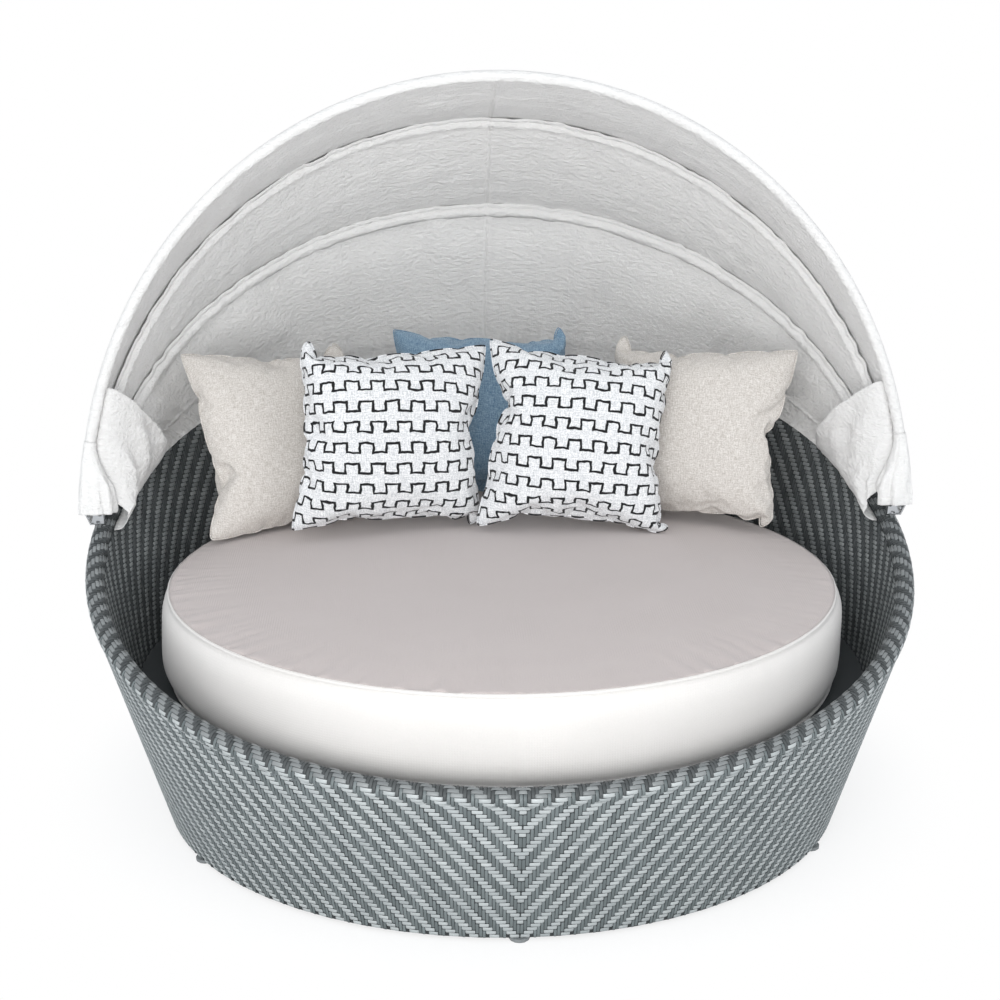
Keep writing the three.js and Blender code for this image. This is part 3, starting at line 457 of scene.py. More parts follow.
def set_cad_materials():
    """Gives each solid the material of its slot."""
    by_slot = {
        # The wall and roll solids show only in the gaps of the weave, coloured as painted shade
        "woven_strap": weave_shadow, "strap_binding": weave_shadow, "frame_coat": frame_coat,
        # The deck panel takes the nearly black strap, as painted shade
        "deck_mesh": deck_strap_painted_shade, "polished_steel": polished_steel, "bow_tube": bow_metal,
        "nylon": grey_nylon, "canopy_cloth": canopy_cloth, "seat_cloth": seat_cloth,
        "linen_cloth": linen_cloth, "pattern_cloth": pattern_cloth, "blue_cloth": blue_cloth,
    }
    for part in frame["record"]["subparts"]:
        node = frame["nodes"][part["node"]]
        material = by_slot[part["material_slot"]]
        node.data.materials.clear()
        node.data.materials.append(material)


# Woven wall: a 3/3 twill whose diagonals meet in chevrons at the middle of the front and back

WEFT_PITCH = 0.0091
HALF_COLUMNS = 362
TWILL = 6
FLOAT_COLUMNS = 3
# Space beside a float in shares of a row, and beside a warp float in shares of a column
STRAP_GAP = 0.06
WARP_GAP = 0.08
# Stations along and across one ribbon with its rise there: its ends dip and its edges round off
RIBBON_LENGTH = np.array([-0.5, -0.36, 0.0, 0.36, 0.5])
RIBBON_LENGTH_RISE = np.array([-1.3, 0.7, 1.0, 0.7, -1.3]) * 1e-3
RIBBON_WIDTH = np.array([-0.5, -0.3, 0.3, 0.5])
RIBBON_WIDTH_RISE = np.array([-0.7, 0.0, 0.0, -0.7]) * 1e-3
RIBBON_LIFT = 1e-4
# The weave ends this far below the rim's middle, and starts this far below the deck inside
RIM_LAP = 0.005
DECK_LAP = 0.006
INNER_STAND_OFF = 0.0012


def twill_floats(columns, rows):
    """Weft and warp floats of one half, as (start column, start row) arrays of whole numbers."""
    column, row = np.meshgrid(np.arange(-2, columns), np.arange(-3, rows), indexing="ij")
    phase = (column - row) % TWILL
    weft = phase == 0
    warp = (phase == TWILL - 1) & (column >= 0)
    return (column[weft], row[weft]), (column[warp], row[warp])


def strap_points(surface, first, last, low, high, lengthwise_columns, lift):
    """Points of domed ribbons laid on a surface, over columns first to last and rows low to high."""
    along, across = np.meshgrid(RIBBON_LENGTH, RIBBON_WIDTH, indexing="ij")
    rise = RIBBON_LENGTH_RISE[:, None] + RIBBON_WIDTH_RISE[None, :]
    height = rise[None] + lift[:, None, None]
    column_share, row_share = (along, across) if lengthwise_columns else (across, along)
    column = (first + last)[:, None, None] / 2 + (last - first)[:, None, None] * column_share
    row = (low + high)[:, None, None] / 2 + (high - low)[:, None, None] * row_share
    return surface(column, row, height)


def wall_surface(inside):
    """Function that lays a column, a row and a height on the wall's outer or inner face."""
    def place(column, row, height):
        angle = column * math.pi / HALF_COLUMNS
        top = (rim_height(angle) - RIM_LAP - WEAVE_BOTTOM) / math.cos(WALL_LEAN)
        climb = np.clip(row * WEFT_PITCH, DECK_TOP - WEAVE_BOTTOM - DECK_LAP if inside else 0.0, top)
        level = WEAVE_BOTTOM + climb * math.cos(WALL_LEAN)
        depth = WALL_THICKNESS + INNER_STAND_OFF + height if inside else -height
        return around(angle, wall_radius(level, depth), level)
    return place


def half_weave(surface, side, columns, rows, rng):
    """Ribbons of one half of the weave: weft and warp, each with its tone, row and column."""
    (weft_column, weft_row), (warp_column, warp_row) = twill_floats(columns, rows)
    crossing = weft_column < 0
    keep = ~crossing | (side > 0)
    start = np.where(crossing, -(weft_column + FLOAT_COLUMNS), weft_column)[keep] - STRAP_GAP
    end = weft_column[keep] + FLOAT_COLUMNS + STRAP_GAP
    row = weft_row[keep].astype(float)
    lift = rng.uniform(-RIBBON_LIFT, RIBBON_LIFT, len(row))
    weft = strap_points(surface, side * start, side * end, row + STRAP_GAP, row + 1 - STRAP_GAP, True, lift)
    tone = 0.45 + 0.3 * smooth_noise(row * 1.7, side * 3.0, 5) + rng.uniform(-0.25, 0.25, len(row))
    ribbons = [(weft, tone, row, (start + end) / 2)]
    column, row = warp_column.astype(float), warp_row.astype(float)
    lift = rng.uniform(-RIBBON_LIFT, RIBBON_LIFT, len(row)) - RIBBON_LIFT
    start, end = side * (column + WARP_GAP), side * (column + 1 - WARP_GAP)
    warp = strap_points(surface, start, end, row - STRAP_GAP, row + FLOAT_COLUMNS + STRAP_GAP, False, lift)
    ribbons.append((warp, 0.5 + rng.uniform(-0.4, 0.4, len(row)), row + 1, column))
    return ribbons


def strap_piece(name, points, tones, kinds, materials):
    """One mesh of many ribbons that ride on the tub."""
    cell = grid_quads(len(RIBBON_LENGTH), len(RIBBON_WIDTH))
    per_strap = len(RIBBON_LENGTH) * len(RIBBON_WIDTH)
    faces = (np.arange(len(points))[:, None, None] * per_strap + cell[None]).reshape(-1, 4)
    piece = new_piece(name, points.reshape(-1, 3), faces, materials, np.repeat(kinds, len(cell)))
    set_values(piece, "strap_tone", np.clip(np.repeat(tones, per_strap), 0, 1))
    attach(piece, "root")
    return piece


def woven_wall(name, inside):
    """Every float of the weave as its own ribbon, in pieces that each keep to one quarter."""
    rows = int((RIM_BACK - WEAVE_BOTTOM) / math.cos(WALL_LEAN) / WEFT_PITCH) + 2
    rng = np.random.default_rng(7 if inside else 3)
    floor = DECK_TOP - 0.01 if inside else WEAVE_BOTTOM - 0.004
    # The inner wall takes the darker strap copies, as painted shade
    materials = [inner_weft_painted_shade, inner_warp_painted_shade] if inside else [weft_strap, warp_strap]
    number = 0
    for side in (1, -1):
        ribbons = half_weave(wall_surface(inside), side, HALF_COLUMNS, rows, rng)
        for low, high in ((-1, 0.5), (0.5, 1)):
            chosen = []
            for kind, (strap, tone, row, column) in enumerate(ribbons):
                level = WEAVE_BOTTOM + (row + 0.5) * WEFT_PITCH * math.cos(WALL_LEAN)
                share = column / HALF_COLUMNS
                shown = (level < rim_height(share * math.pi) - 0.004) & (level > floor)
                shown &= (share >= low) & (share < high)
                chosen.append((strap[shown], tone[shown], np.full(int(shown.sum()), kind)))
            number += 1
            points, tones, kinds = [np.concatenate(parts) for parts in zip(*chosen)]
            piece = strap_piece(f"{name}_{number}", points, tones, kinds, materials)


# Rolled rim: the twill of the wall goes on over the roll, all the way round

RIM_ROWS = 11
# Rows above this one, which turn towards the inside, take the inner straps' darker copies: painted shade on
# the roll's inner side
RIM_LIT_ROWS = 2
RIM_ROW_SHARE = 0.9
RIM_FIRST_TURN = math.radians(-40)
ROLL_STAND_OFF = 0.0006


def roll_surface(column, row, height):
    """Lays a column, a row and a height on the rolled rim."""
    angle = column * math.pi / HALF_COLUMNS
    turn = RIM_FIRST_TURN + row * RIM_ROW_SHARE * WEFT_PITCH / ROLL_RADIUS
    centre, out, up = rim_frame(angle)
    radius = (ROLL_RADIUS + ROLL_STAND_OFF + height)[..., None]
    return centre + radius * (np.cos(turn)[..., None] * out + np.sin(turn)[..., None] * up)


def rim_braid():
    """The ribbons over the roll, in one piece."""
    rng = np.random.default_rng(19)
    chosen = []
    for side in (1, -1):
        ribbons = half_weave(roll_surface, side, HALF_COLUMNS, RIM_ROWS, rng)
        for kind, (strap, tone, row, _) in enumerate(ribbons):
            shown = row >= 0
            # Rows turned inwards use the darker copies, as painted shade
            inner = 2 * (row[shown] > RIM_LIT_ROWS)
            chosen.append((strap[shown], tone[shown], kind + inner))
    materials = [weft_strap, warp_strap, inner_weft_painted_shade, inner_warp_painted_shade]
    points, tones, kinds = [np.concatenate(parts) for parts in zip(*chosen)]
    piece = strap_piece("rim_braid", points, tones, kinds, materials)


# Canopy: sheets between the bows, with sleeves sewn round the bows

BOWS = {
    name: {"half": BOW_HALF_WIDTH - order * BOW_NEST, "rise": BOW_RISE - order * BOW_NEST,
           "tilt": BOW_TILT + order * BOW_SPACING}
    for order, name in enumerate(("front_bow", "middle_bow", "rear_bow"))
}
SHEET_START = 0.058
SKIRT_START = 0.13
ARCH_STEPS = 340
SEAM_STEPS = np.array([-7, -5, -4, -3, -2, -1, 0, 1, 2, 3, 4, 5, 7]) * 0.0006


def arch_shares(steps):
    """Even shares of an arch's length, with closer ones at the seam in its middle."""
    even = np.linspace(0, 1, steps)
    return np.sort(np.concatenate([even[np.abs(even - 0.5) > 0.0045], 0.5 + SEAM_STEPS]))


def bow_angles(bow, start, shares):
    """Angles on the bow's ellipse at shares of its length, from a distance off each pivot."""
    first = math.asin((start + BOW_DROP) / (bow["rise"] + BOW_DROP))
    fine = np.linspace(first, math.pi - first, 4000)
    speed = np.hypot(bow["half"] * np.sin(fine), (bow["rise"] + BOW_DROP) * np.cos(fine))
    length = np.concatenate([[0], np.cumsum((speed[1:] + speed[:-1]) / 2)])
    return np.interp(shares * length[-1], length, fine)


def bow_frame(bow, angle):
    """Points on the bow's centre line, with the outward and backward directions."""
    radial = np.array([0, math.sin(bow["tilt"]), math.cos(bow["tilt"])])
    back = np.array([0, math.cos(bow["tilt"]), -math.sin(bow["tilt"])])
    up = (bow["rise"] + BOW_DROP) * np.sin(angle) - BOW_DROP
    centre = np.array([0, PIVOT_Y, PIVOT_Z]) + up[..., None] * radial
    centre[..., 0] += bow["half"] * np.cos(angle)
    out = (bow["half"] * np.sin(angle))[..., None] * radial
    out[..., 0] += (bow["rise"] + BOW_DROP) * np.cos(angle)
    return centre, unit(out), back


PUCKER_LENGTH, PUCKER_HEIGHT = 0.026, 0.0032


def pucker(along, seed):
    """Gathers along a seam: soft waves of uneven size, in metres."""
    size = 0.55 + 0.45 * smooth_noise(along / 0.13, 0.3, seed + 40)
    return size * smooth_noise(along / PUCKER_LENGTH, 0.0, seed) * PUCKER_HEIGHT


LONG_CREASE, SHORT_CREASE, CROSS_CREASE = 0.0024, 0.0014, 0.0012


def crinkles(along, down, seed):
    """Loose dry creases that run down the sheet, from bow to bow."""
    drift = 0.03 * smooth_noise(along / 0.20, down / 0.10, seed + 3)
    long_folds = smooth_noise((along + drift) / 0.05, down / 0.22, seed)
    short_folds = smooth_noise((along - drift) / 0.021, down / 0.06, seed + 1)
    cross = smooth_noise(along / 0.09, (down + drift) / 0.022, seed + 2)
    return LONG_CREASE * long_folds + SHORT_CREASE * short_folds + CROSS_CREASE * cross


def felled_seam(along, place):
    """Relief of a lapped seam: two raised edges with the stitching sunk between them."""
    off = np.abs(along - place)
    return 0.0011 * ridge(off, 0.0045, 0.0028) - 0.0015 * ridge(off, 0.0, 0.0012)


SHEET_ROWS = 60
SHEET_SAG = 0.040


def canopy_sheet(name, front, rear, seed):
    """Sheet from one bow over to the next one, tight over the bows and slack in between. Gives
    the piece with its length over the bow and its greatest width."""
    shares = arch_shares(ARCH_STEPS)
    start, start_out, _ = bow_frame(BOWS[front], bow_angles(BOWS[front], SHEET_START, shares))
    end, end_out, _ = bow_frame(BOWS[rear], bow_angles(BOWS[rear], SHEET_START, shares))
    share = np.linspace(0, 1, SHEET_ROWS)[:, None, None]
    chord = np.linalg.norm(end - start, axis=-1)[None]
    arc = run_lengths(start)
    out = unit(start_out * (1 - share) + end_out * share)
    down = share[..., 0] * chord
    flat = np.broadcast_to(arc[None], down.shape)
    off_bow = np.minimum(down, chord - down)
    sag = SHEET_SAG * chord * 4 * share[..., 0] * (1 - share[..., 0])
    slack = fade(off_bow, 0.0, 0.05) * (0.6 + 0.6 * fade(chord, 0.05, 0.3))
    gathers = np.where(down < chord / 2, pucker(flat, seed + 9), pucker(flat, seed + 19))
    height = BOW_RADIUS + CLOTH - sag + slack * crinkles(flat, down, seed)
    gathers = np.abs(gathers) * ridge(off_bow, 0.026, 0.022) + felled_seam(flat, arc[-1] / 2)
    height += gathers * fade(off_bow, 0.004, 0.022)
    points = start * (1 - share) + end * share + out * height[..., None]
    piece = new_piece(name, points.reshape(-1, 3), grid_quads(SHEET_ROWS, len(shares)),
                      [canopy_cloth])
    thicken(piece)
    return piece, float(arc[-1]), float(chord.max())


def canopy_sheets():
    """The two sheets between the three bows."""
    for name, node, front, rear, seed in (
            ("canopy_sheet_front", "canopy_front_panel", "front_bow", "middle_bow", 21),
            ("canopy_sheet_middle", "canopy_middle_panel", "middle_bow", "rear_bow", 51)):
        piece, arch, width = canopy_sheet(name, front, rear, seed)
        bend_between(piece)
        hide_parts(node)


def sleeve(name, bow_name, seed, front_reach, rear_reach, sheet_front, sheet_rear):
    """Pocket sewn under the sheets at front_reach and rear_reach from the bow, with the bow
    lying in it. sheet_front and sheet_rear are the slopes at which the sheets leave the bow.
    Without a front reach the cloth laps over the bow's front side."""
    shares = arch_shares(ARCH_STEPS + 60)
    centre, out, back = bow_frame(BOWS[bow_name], bow_angles(BOWS[bow_name], SHEET_START, shares))
    arc = run_lengths(centre)
    ring = BOW_RADIUS + 2.2 * CLOTH
    top = BOW_RADIUS - 0.4 * CLOTH
    profile = [(-ring * math.cos(t), -ring * math.sin(t)) for t in np.linspace(0, math.pi, 13)]
    profile += [(rear_reach * 0.62, -ring * 0.15), (rear_reach, top - sheet_rear * rear_reach)]
    if front_reach:
        front_seam = [(-front_reach, top - sheet_front * front_reach), (-front_reach * 0.62, -ring * 0.15)]
        profile = front_seam + profile
    else:
        lap = np.linspace(math.pi / 2, 0, 5)[:-1]
        profile = [(-ring * math.cos(t), ring * math.sin(t)) for t in lap] + profile
    profile = np.array(profile)
    loose = np.clip(np.abs(profile[:, 0]) / ring, 0, 1) * (profile[:, 1] < top * 0.9)
    wave = pucker(arc, seed)[None] * loose[:, None] * 1.5
    free = loose[:, None] > 0
    small = smooth_noise(arc[None] / 0.016, np.arange(len(profile))[:, None] * 0.4, seed + 5)
    wave += 0.0014 * small * free
    wave -= felled_seam(arc, arc[-1] / 2)[None] * free
    side = profile[:, 0][:, None] * (1 + 0.06 * smooth_noise(arc / 0.08, 0.0, seed + 8))[None]
    points = centre[None] + out[None] * (profile[:, 1][:, None] - wave)[..., None] + side[..., None] * back
    piece = new_piece(name, points.reshape(-1, 3), grid_quads(len(profile), len(shares)), [canopy_cloth])
    thicken(piece)
    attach(piece, bow_name)


def bend_between(piece):
    """Bakes the sheet's placement into its points."""
    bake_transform(piece)


# Rear skirt: hangs from the rear bow to the inner side of the rim, gathered on elastic

SKIRT_ANGLE = math.radians(119.5)
SKIRT_ROWS, SKIRT_STEPS = 64, 700
# How far the hem hangs below the roll's middle, at its ends and at the back
HEM_DROP, BACK_HEM_DROP = 0.014, 0.068
HEM_STAND_OFF = 0.0052
GATHER_BAND = 0.055
HEM_TURN = 0.010
# Heights of the gathers on the elastic, the seam above it, and the free cloth's folds
GATHER_HEIGHT, SEAM_DEPTH = 0.0042, 0.003
FOLD_HEIGHT, SMALL_FOLD_HEIGHT = 0.0075, 0.0028


def rear_skirt():
    """The skirt, with its gathers, its folds and the seam above the elastic."""
    bow = BOWS["rear_bow"]
    shares = arch_shares(SKIRT_STEPS)
    start, start_out, _ = bow_frame(bow, bow_angles(bow, SKIRT_START, shares))
    centre, rim_out, rim_up = rim_frame(SKIRT_ANGLE + shares * 2 * (math.pi - SKIRT_ANGLE))
    face = ROLL_RADIUS + HEM_STAND_OFF
    drop = HEM_DROP + (BACK_HEM_DROP - HEM_DROP) * np.sin(math.pi * shares) ** 2
    hem = centre - rim_out * (face - 0.0006) - rim_up * drop[:, None]
    above = centre - rim_out * face + rim_up * HEM_TURN
    share = np.linspace(0, 1, SKIRT_ROWS)[:, None, None]
    length = np.linalg.norm(above - start, axis=-1)[None] + drop[None] + HEM_TURN
    up_from_hem = (1 - share[..., 0]) * length
    turn = (drop[None] + HEM_TURN) / length
    bend = fade(share, 1 - 1.8 * turn[..., None], 1.0)
    straight = start * (1 - share) + above * share
    points = straight * (1 - bend) + hem * bend
    out = unit(start_out * (1 - share) + rim_out * share)
    along = run_lengths(hem)[None]
    band = 1 - fade(up_from_hem, GATHER_BAND, GATHER_BAND + 0.03)
    seam = ridge(up_from_hem, GATHER_BAND, 0.006)
    gathers = smooth_noise(along / 0.0085, up_from_hem / 0.09, 77)
    drift = 0.6 * smooth_noise(along / 0.3, 0.0, 79)
    folds = smooth_noise(along / 0.060 + drift, up_from_hem / 0.5, 78)
    small = smooth_noise(along / 0.024, up_from_hem / 0.12, 80)
    free = fade(up_from_hem, 0.02, 0.12) * fade(share[..., 0], 0.0, 0.15)
    height = band * gathers * GATHER_HEIGHT - seam * SEAM_DEPTH
    height += free * (FOLD_HEIGHT * folds + SMALL_FOLD_HEIGHT * small)
    height += felled_seam(along, along[0, -1] / 2) * fade(share[..., 0], 0.02, 0.1)
    height += (BOW_RADIUS + CLOTH) * (1 - fade(share[..., 0], 0.0, 0.35))
    edge = fade(up_from_hem, 0.0, 0.02)
    points = points + out * (height * (0.35 + 0.65 * edge) - 0.001 * (1 - edge))[..., None]
    piece = new_piece("rear_skirt", points.reshape(-1, 3), grid_quads(SKIRT_ROWS, len(shares)),
                      [canopy_cloth])
    thicken(piece)
    bend_between(piece)
    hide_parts("canopy_rear_skirt")


# Ends of the front bow's cloth: they open out and hang in front of the hinge brackets

TAIL_BOTTOM, TAIL_TOP = -0.009, 0.15
TAIL_ROWS, TAIL_COLUMNS = 40, 57
TAIL_FOLD, TAIL_CREASE = 0.005, 0.0022
# Cross sections in millimetres, outwards and backwards from the bow: at the bracket and above
TAIL_OPEN = np.array([(14, 13), (15, -8), (14, -24), (6, -33), (-14, -36), (-36, -36), (-53, -31),
                      (-60, -14), (-60, 4)]) / 1000
TAIL_CLOSED = np.array([(11, 8), (13, 1), (13, -6), (9, -12), (3, -15), (-3, -15), (-9, -12),
                        (-13, -6), (-13, 1)]) / 1000


def canopy_tail(side):
    """Cloth round the bow, narrow above and wide round the bracket; rows run up the bow."""
    bow = BOWS["front_bow"]
    up = np.linspace(TAIL_BOTTOM, TAIL_TOP, TAIL_ROWS)
    centre, out, back = bow_frame(bow, np.arcsin((up + BOW_DROP) / (bow["rise"] + BOW_DROP)))
    corner = np.arange(len(TAIL_OPEN))
    station = np.linspace(0, corner[-1], TAIL_COLUMNS)
    wide, narrow = [np.stack([np.interp(station, corner, shape[:, axis]) for axis in (0, 1)], -1)
                    for shape in (TAIL_OPEN, TAIL_CLOSED)]
    share = fade(up, 0.02, TAIL_TOP)[:, None, None]
    place = wide[None] * (1 - share) + narrow[None] * share
    seed = 110 if side > 0 else 115
    folds = smooth_noise(station[None] / 0.9, up[:, None] / 0.05, seed) * TAIL_FOLD
    folds += smooth_noise(station[None] / 0.35, up[:, None] / 0.03, seed + 1) * TAIL_CREASE
    place *= 1 + (folds * (1 - share[..., 0]) / 0.035)[..., None]
    points = centre[:, None] + place[..., :1] * out[:, None] + place[..., 1:] * back
    points[..., 0] *= side
    end = "right" if side > 0 else "left"
    piece = new_piece(f"canopy_tail_{end}", points.reshape(-1, 3), grid_quads(TAIL_ROWS, TAIL_COLUMNS),
                      [canopy_cloth])
    thicken(piece)
    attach(piece, "front_bow")


# Side flaps: puffed leaves of cloth from the front bow down to the rim

# Where the leaf starts and ends, as distances up the bow and as angles on the rim
FLAP_START, FLAP_REACH = 0.032, 0.270
FLAP_START_ANGLE = HINGE_ANGLE - math.radians(0.6)
FLAP_END_ANGLE = math.radians(118)
FLAP_ROWS, FLAP_COLUMNS = 64, 90
FLAP_SWELL = 0.056
FLAP_FOLD, FLAP_CREASE, FLAP_CRINKLE, FLAP_GATHER = 0.010, 0.004, 0.0012, 0.0025


def side_flap(side):
    """The leaf on one side."""
    bow = BOWS["front_bow"]
    down = np.linspace(0, 1, FLAP_COLUMNS)[None, :]
    along = np.linspace(0, 1, FLAP_ROWS)[:, None]
    distance = FLAP_START + along[:, 0] * (FLAP_REACH - FLAP_START)
    top, out, back = bow_frame(bow, np.arcsin((distance + BOW_DROP) / (bow["rise"] + BOW_DROP)))
    top = top - out * 0.011 + back * 0.006
    rim_angle = FLAP_START_ANGLE + along[:, 0] * (FLAP_END_ANGLE - FLAP_START_ANGLE)
    centre, rim_out, rim_up = rim_frame(rim_angle)
    bottom = centre - rim_out * (ROLL_RADIUS + 0.003) - rim_up * 0.010
    seed = 90 if side > 0 else 95
    share = down[..., None]
    points = top[:, None] * (1 - share) + bottom[:, None] * share
    folds = smooth_noise(along * 5 + down * 3, down * 2.2, seed) * FLAP_FOLD
    folds += smooth_noise(along * 13 - down * 6, down * 6 + along * 2, seed + 1) * FLAP_CREASE
    folds += smooth_noise(along * 30, down * 26, seed + 2) * FLAP_CRINKLE
    edges = fade(down, 0.85, 1.0) + 1 - fade(down, 0, 0.12)
    gathers = smooth_noise(along * 40, down * 1.5, seed + 3) * FLAP_GATHER * edges
    swell = FLAP_SWELL * np.sqrt(np.sin(math.pi * down)) * np.minimum(1, 0.85 + along)
    points[..., 0] -= swell + folds * np.sin(math.pi * down) + gathers
    points[..., 0] *= side
    end = "right" if side > 0 else "left"
    piece = new_piece(f"flap_{end}", points.reshape(-1, 3), grid_quads(FLAP_ROWS, FLAP_COLUMNS),
                      [canopy_cloth])
    thicken(piece)
    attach(piece, "root")
    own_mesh(piece)
    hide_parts(f"side_flap_{end}")


# Seat cushion: a crowned top and a tall boxing, joined by piping


def crown_at(radius):
    """Rise of the cushion's top at a distance from its middle."""
    share = np.minimum(1, radius / CUSHION_RADIUS)
    return CUSHION_CROWN * (1 - share**4)


CUSHION_STEPS = 480
SEAM_INSET = 0.005
# The piping's middle lies this far inside the cushion's height, and the top's edge this far
PIPING_DROP = 0.008
TOP_DROP = 0.004
# Heights of the wrinkles at the piping, the top's soft hills, the boxing's pulls and dents
WRINKLE_HEIGHT, HILL_HEIGHT = 0.0060, 0.0026
PULL_HEIGHT, DENT_HEIGHT = 0.0016, 0.0035
BEAD_UNEVENNESS = 0.0006


def cushion_profile():
    """Radius, height, outward share and distance from the seam, from the top's middle down the
    side to the middle of the bottom, with the rows where the piping and the boxing start."""
    seam = CUSHION_RADIUS - SEAM_INSET
    shares = np.concatenate([np.linspace(0.04, 0.86, 18), np.linspace(0.88, 1, 14)])
    top = [(s * seam, CUSHION_TOP - TOP_DROP + crown_at(s * seam)) for s in shares]
    bead = np.radians([115, 80, 45, 10, -25, -60])
    high_seam = CUSHION_TOP - PIPING_DROP
    upper = [(seam + PIPING_RADIUS * math.cos(t), high_seam + PIPING_RADIUS * math.sin(t))
             for t in bead]
    half = (CUSHION_TOP - CUSHION_BOTTOM) / 2 - 0.013
    middle = CUSHION_BOTTOM + (CUSHION_TOP - CUSHION_BOTTOM) / 2
    boxing = [(seam + (SEAM_INSET + CUSHION_BULGE) * (1 - abs(t) ** 5), middle + t * half)
              for t in np.linspace(1, -1, 24)]
    low_seam = CUSHION_BOTTOM + PIPING_DROP
    lower = [(seam + PIPING_RADIUS * math.cos(t), low_seam + PIPING_RADIUS * math.sin(t))
             for t in -bead[::-1]]
    bottom = [(s * seam, CUSHION_BOTTOM) for s in (0.985, 0.95, 0.85, 0.6, 0.3, 0.04)]
    rows = np.cumsum([len(top), len(upper), len(boxing), len(lower)])
    return np.array(top + upper + boxing + lower + bottom), rows


def seat_cushion():
    """The cushion, with wrinkles that run inwards from the piping and a slightly uneven boxing."""
    profile, (piping_row, boxing_row, lower_row, bottom_row) = cushion_profile()
    rows = len(profile)
    angle = np.linspace(0, 2 * math.pi, CUSHION_STEPS, endpoint=False)[None]
    radius = np.repeat(profile[:, :1], CUSHION_STEPS, 1)
    height = np.repeat(profile[:, 1:], CUSHION_STEPS, 1)
    seam = CUSHION_RADIUS - SEAM_INSET
    along = angle * seam
    inwards = seam - radius[:piping_row]
    near_seam = np.exp(-inwards / 0.075) * fade(inwards, 0.0, 0.01)
    radial = smooth_noise(along / 0.013 + 0.5 * smooth_noise(along / 0.15, 0.0, 33), inwards / 0.09, 31)
    loose = 0.4 + 0.6 * fade(smooth_noise(along / 0.45, 0.0, 34), -0.4, 0.5)
    x, y = radius * np.sin(angle), -radius * np.cos(angle)
    soft = smooth_noise(x / 0.16 + 9, y / 0.16 + 9, 35) * fade(seam - radius, 0.0, 0.12)
    height[:piping_row] += near_seam * radial * loose * WRINKLE_HEIGHT + soft[:piping_row] * HILL_HEIGHT
    boxing = slice(boxing_row, lower_row)
    level = np.linspace(0, 1, lower_row - boxing_row)[:, None]
    pulls = smooth_noise(along / 0.030, level * 1.4, 36) * (ridge(level, 0, 0.22) + ridge(level, 1, 0.22))
    dents = smooth_noise(along / 0.22, level * 1.2, 37)
    radius[boxing] += (pulls * PULL_HEIGHT + dents * DENT_HEIGHT) * np.sin(math.pi * level) ** 0.5
    beads = np.r_[piping_row:boxing_row, lower_row:bottom_row]
    height[beads] += BEAD_UNEVENNESS * smooth_noise(along / 0.035, 0.0, 38)
    points = around(angle, radius, height).reshape(-1, 3)
    poles = np.array([[0, TUB_Y, CUSHION_TOP - TOP_DROP + CUSHION_CROWN], [0, TUB_Y, CUSHION_BOTTOM]])
    points = np.concatenate([points, poles])
    faces = grid_quads(rows, CUSHION_STEPS, wrap_columns=True)[:, ::-1]
    # Faces from the upper piping down take the paler copy of the cloth: painted light
    pale = np.isin(faces.min(1) // CUSHION_STEPS, np.arange(piping_row - 1, rows))
    piece = new_piece("cushion", points, faces, [seat_cloth, boxing_painted_light], pale)
    close_caps(piece, ((0, len(points) - 2), ((rows - 1) * CUSHION_STEPS, len(points) - 1)))
    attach(piece, "cushions")
    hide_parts("seat_cushion")


def close_caps(piece, caps):
    """Closes the first and the last ring of a round piece with triangles round a pole."""
    mesh = bmesh.new()
    mesh.from_mesh(piece.data)
    mesh.verts.ensure_lookup_table()
    for first, pole in caps:
        for step in range(CUSHION_STEPS):
            corners = (pole, first + step, first + (step + 1) % CUSHION_STEPS)
            mesh.faces.new([mesh.verts[corner] for corner in corners]).smooth = True
    bmesh.ops.recalc_face_normals(mesh, faces=mesh.faces)
    mesh.to_mesh(piece.data)
    mesh.free()


# Pillows: flat two-sided covers that a cloth simulation fills

# Places in shares of the cushion's radius from its middle, and angles in degrees
PILLOWS = {
    "pillow_beige_left": {"place": (-0.684, 0.57), "lean": 23, "turn": 31, "roll": 2},
    "pillow_beige_right": {"place": (0.646, 0.56), "lean": 19, "turn": -24, "roll": 0},
    "pillow_blue": {"place": (-0.026, 0.815), "lean": 23.4, "turn": -4, "roll": 0},
    "pillow_pattern_left": {"place": (-0.336, 0.42), "lean": 12, "turn": 17, "roll": 4},
    "pillow_pattern_right": {"place": (0.267, 0.44), "lean": 21, "turn": -2, "roll": 5},
}
# Cloth, slot and number of the filled shape
PILLOW_COVERS = {
    "pillow_beige_left": (linen_cloth, "linen_cloth", 1),
    "pillow_beige_right": (linen_cloth, "linen_cloth", 2),
    "pillow_blue": (blue_cloth, "blue_cloth", 3),
    "pillow_pattern_left": (pattern_cloth, "pattern_cloth", 2),
    "pillow_pattern_right": (pattern_cloth, "pattern_cloth", 3),
}
COVER_STEPS = 56
COVER_SIZE = 0.45
# How far the filling draws in the middle of each edge, and the piping's radius and sides
EDGE_DRAW = 0.024
SEAM_RADIUS = 0.0019
SEAM_SIDES = 6
FILL_FRAMES = 16
PILLOW_SINK = 0.002


def flat_cover():
    """Two layers of a square cover in the XZ plane, sewn round the edge: points, place on the
    cloth, quads and the numbers of the edge's points in order."""
    line = np.linspace(-1, 1, COVER_STEPS + 1)
    u, v = np.meshgrid(line, line, indexing="ij")
    thick = np.sqrt((1 - u**2) * (1 - v**2))
    inner = (np.abs(u) < 1) & (np.abs(v) < 1)
    count = u.size
    number = np.arange(count).reshape(u.shape)
    back = number.copy()
    back[inner] = count + np.arange(int(inner.sum()))
    front_points = np.stack([u, -thick, v], -1).reshape(-1, 3)
    back_points = np.stack([u, thick, v], -1)[inner]
    points = np.concatenate([front_points, back_points])
    quads = [np.stack([n[:-1, :-1], n[1:, :-1], n[1:, 1:], n[:-1, 1:]], -1).reshape(-1, 4)
             for n in (number, back)]
    edge = np.concatenate([number[:-1, 0], number[-1, :-1], number[:0:-1, -1], number[0, :0:-1]])
    return points, points[:, [0, 2, 1]] * (1, 1, 0), np.concatenate([quads[0], quads[1][:, ::-1]]), edge


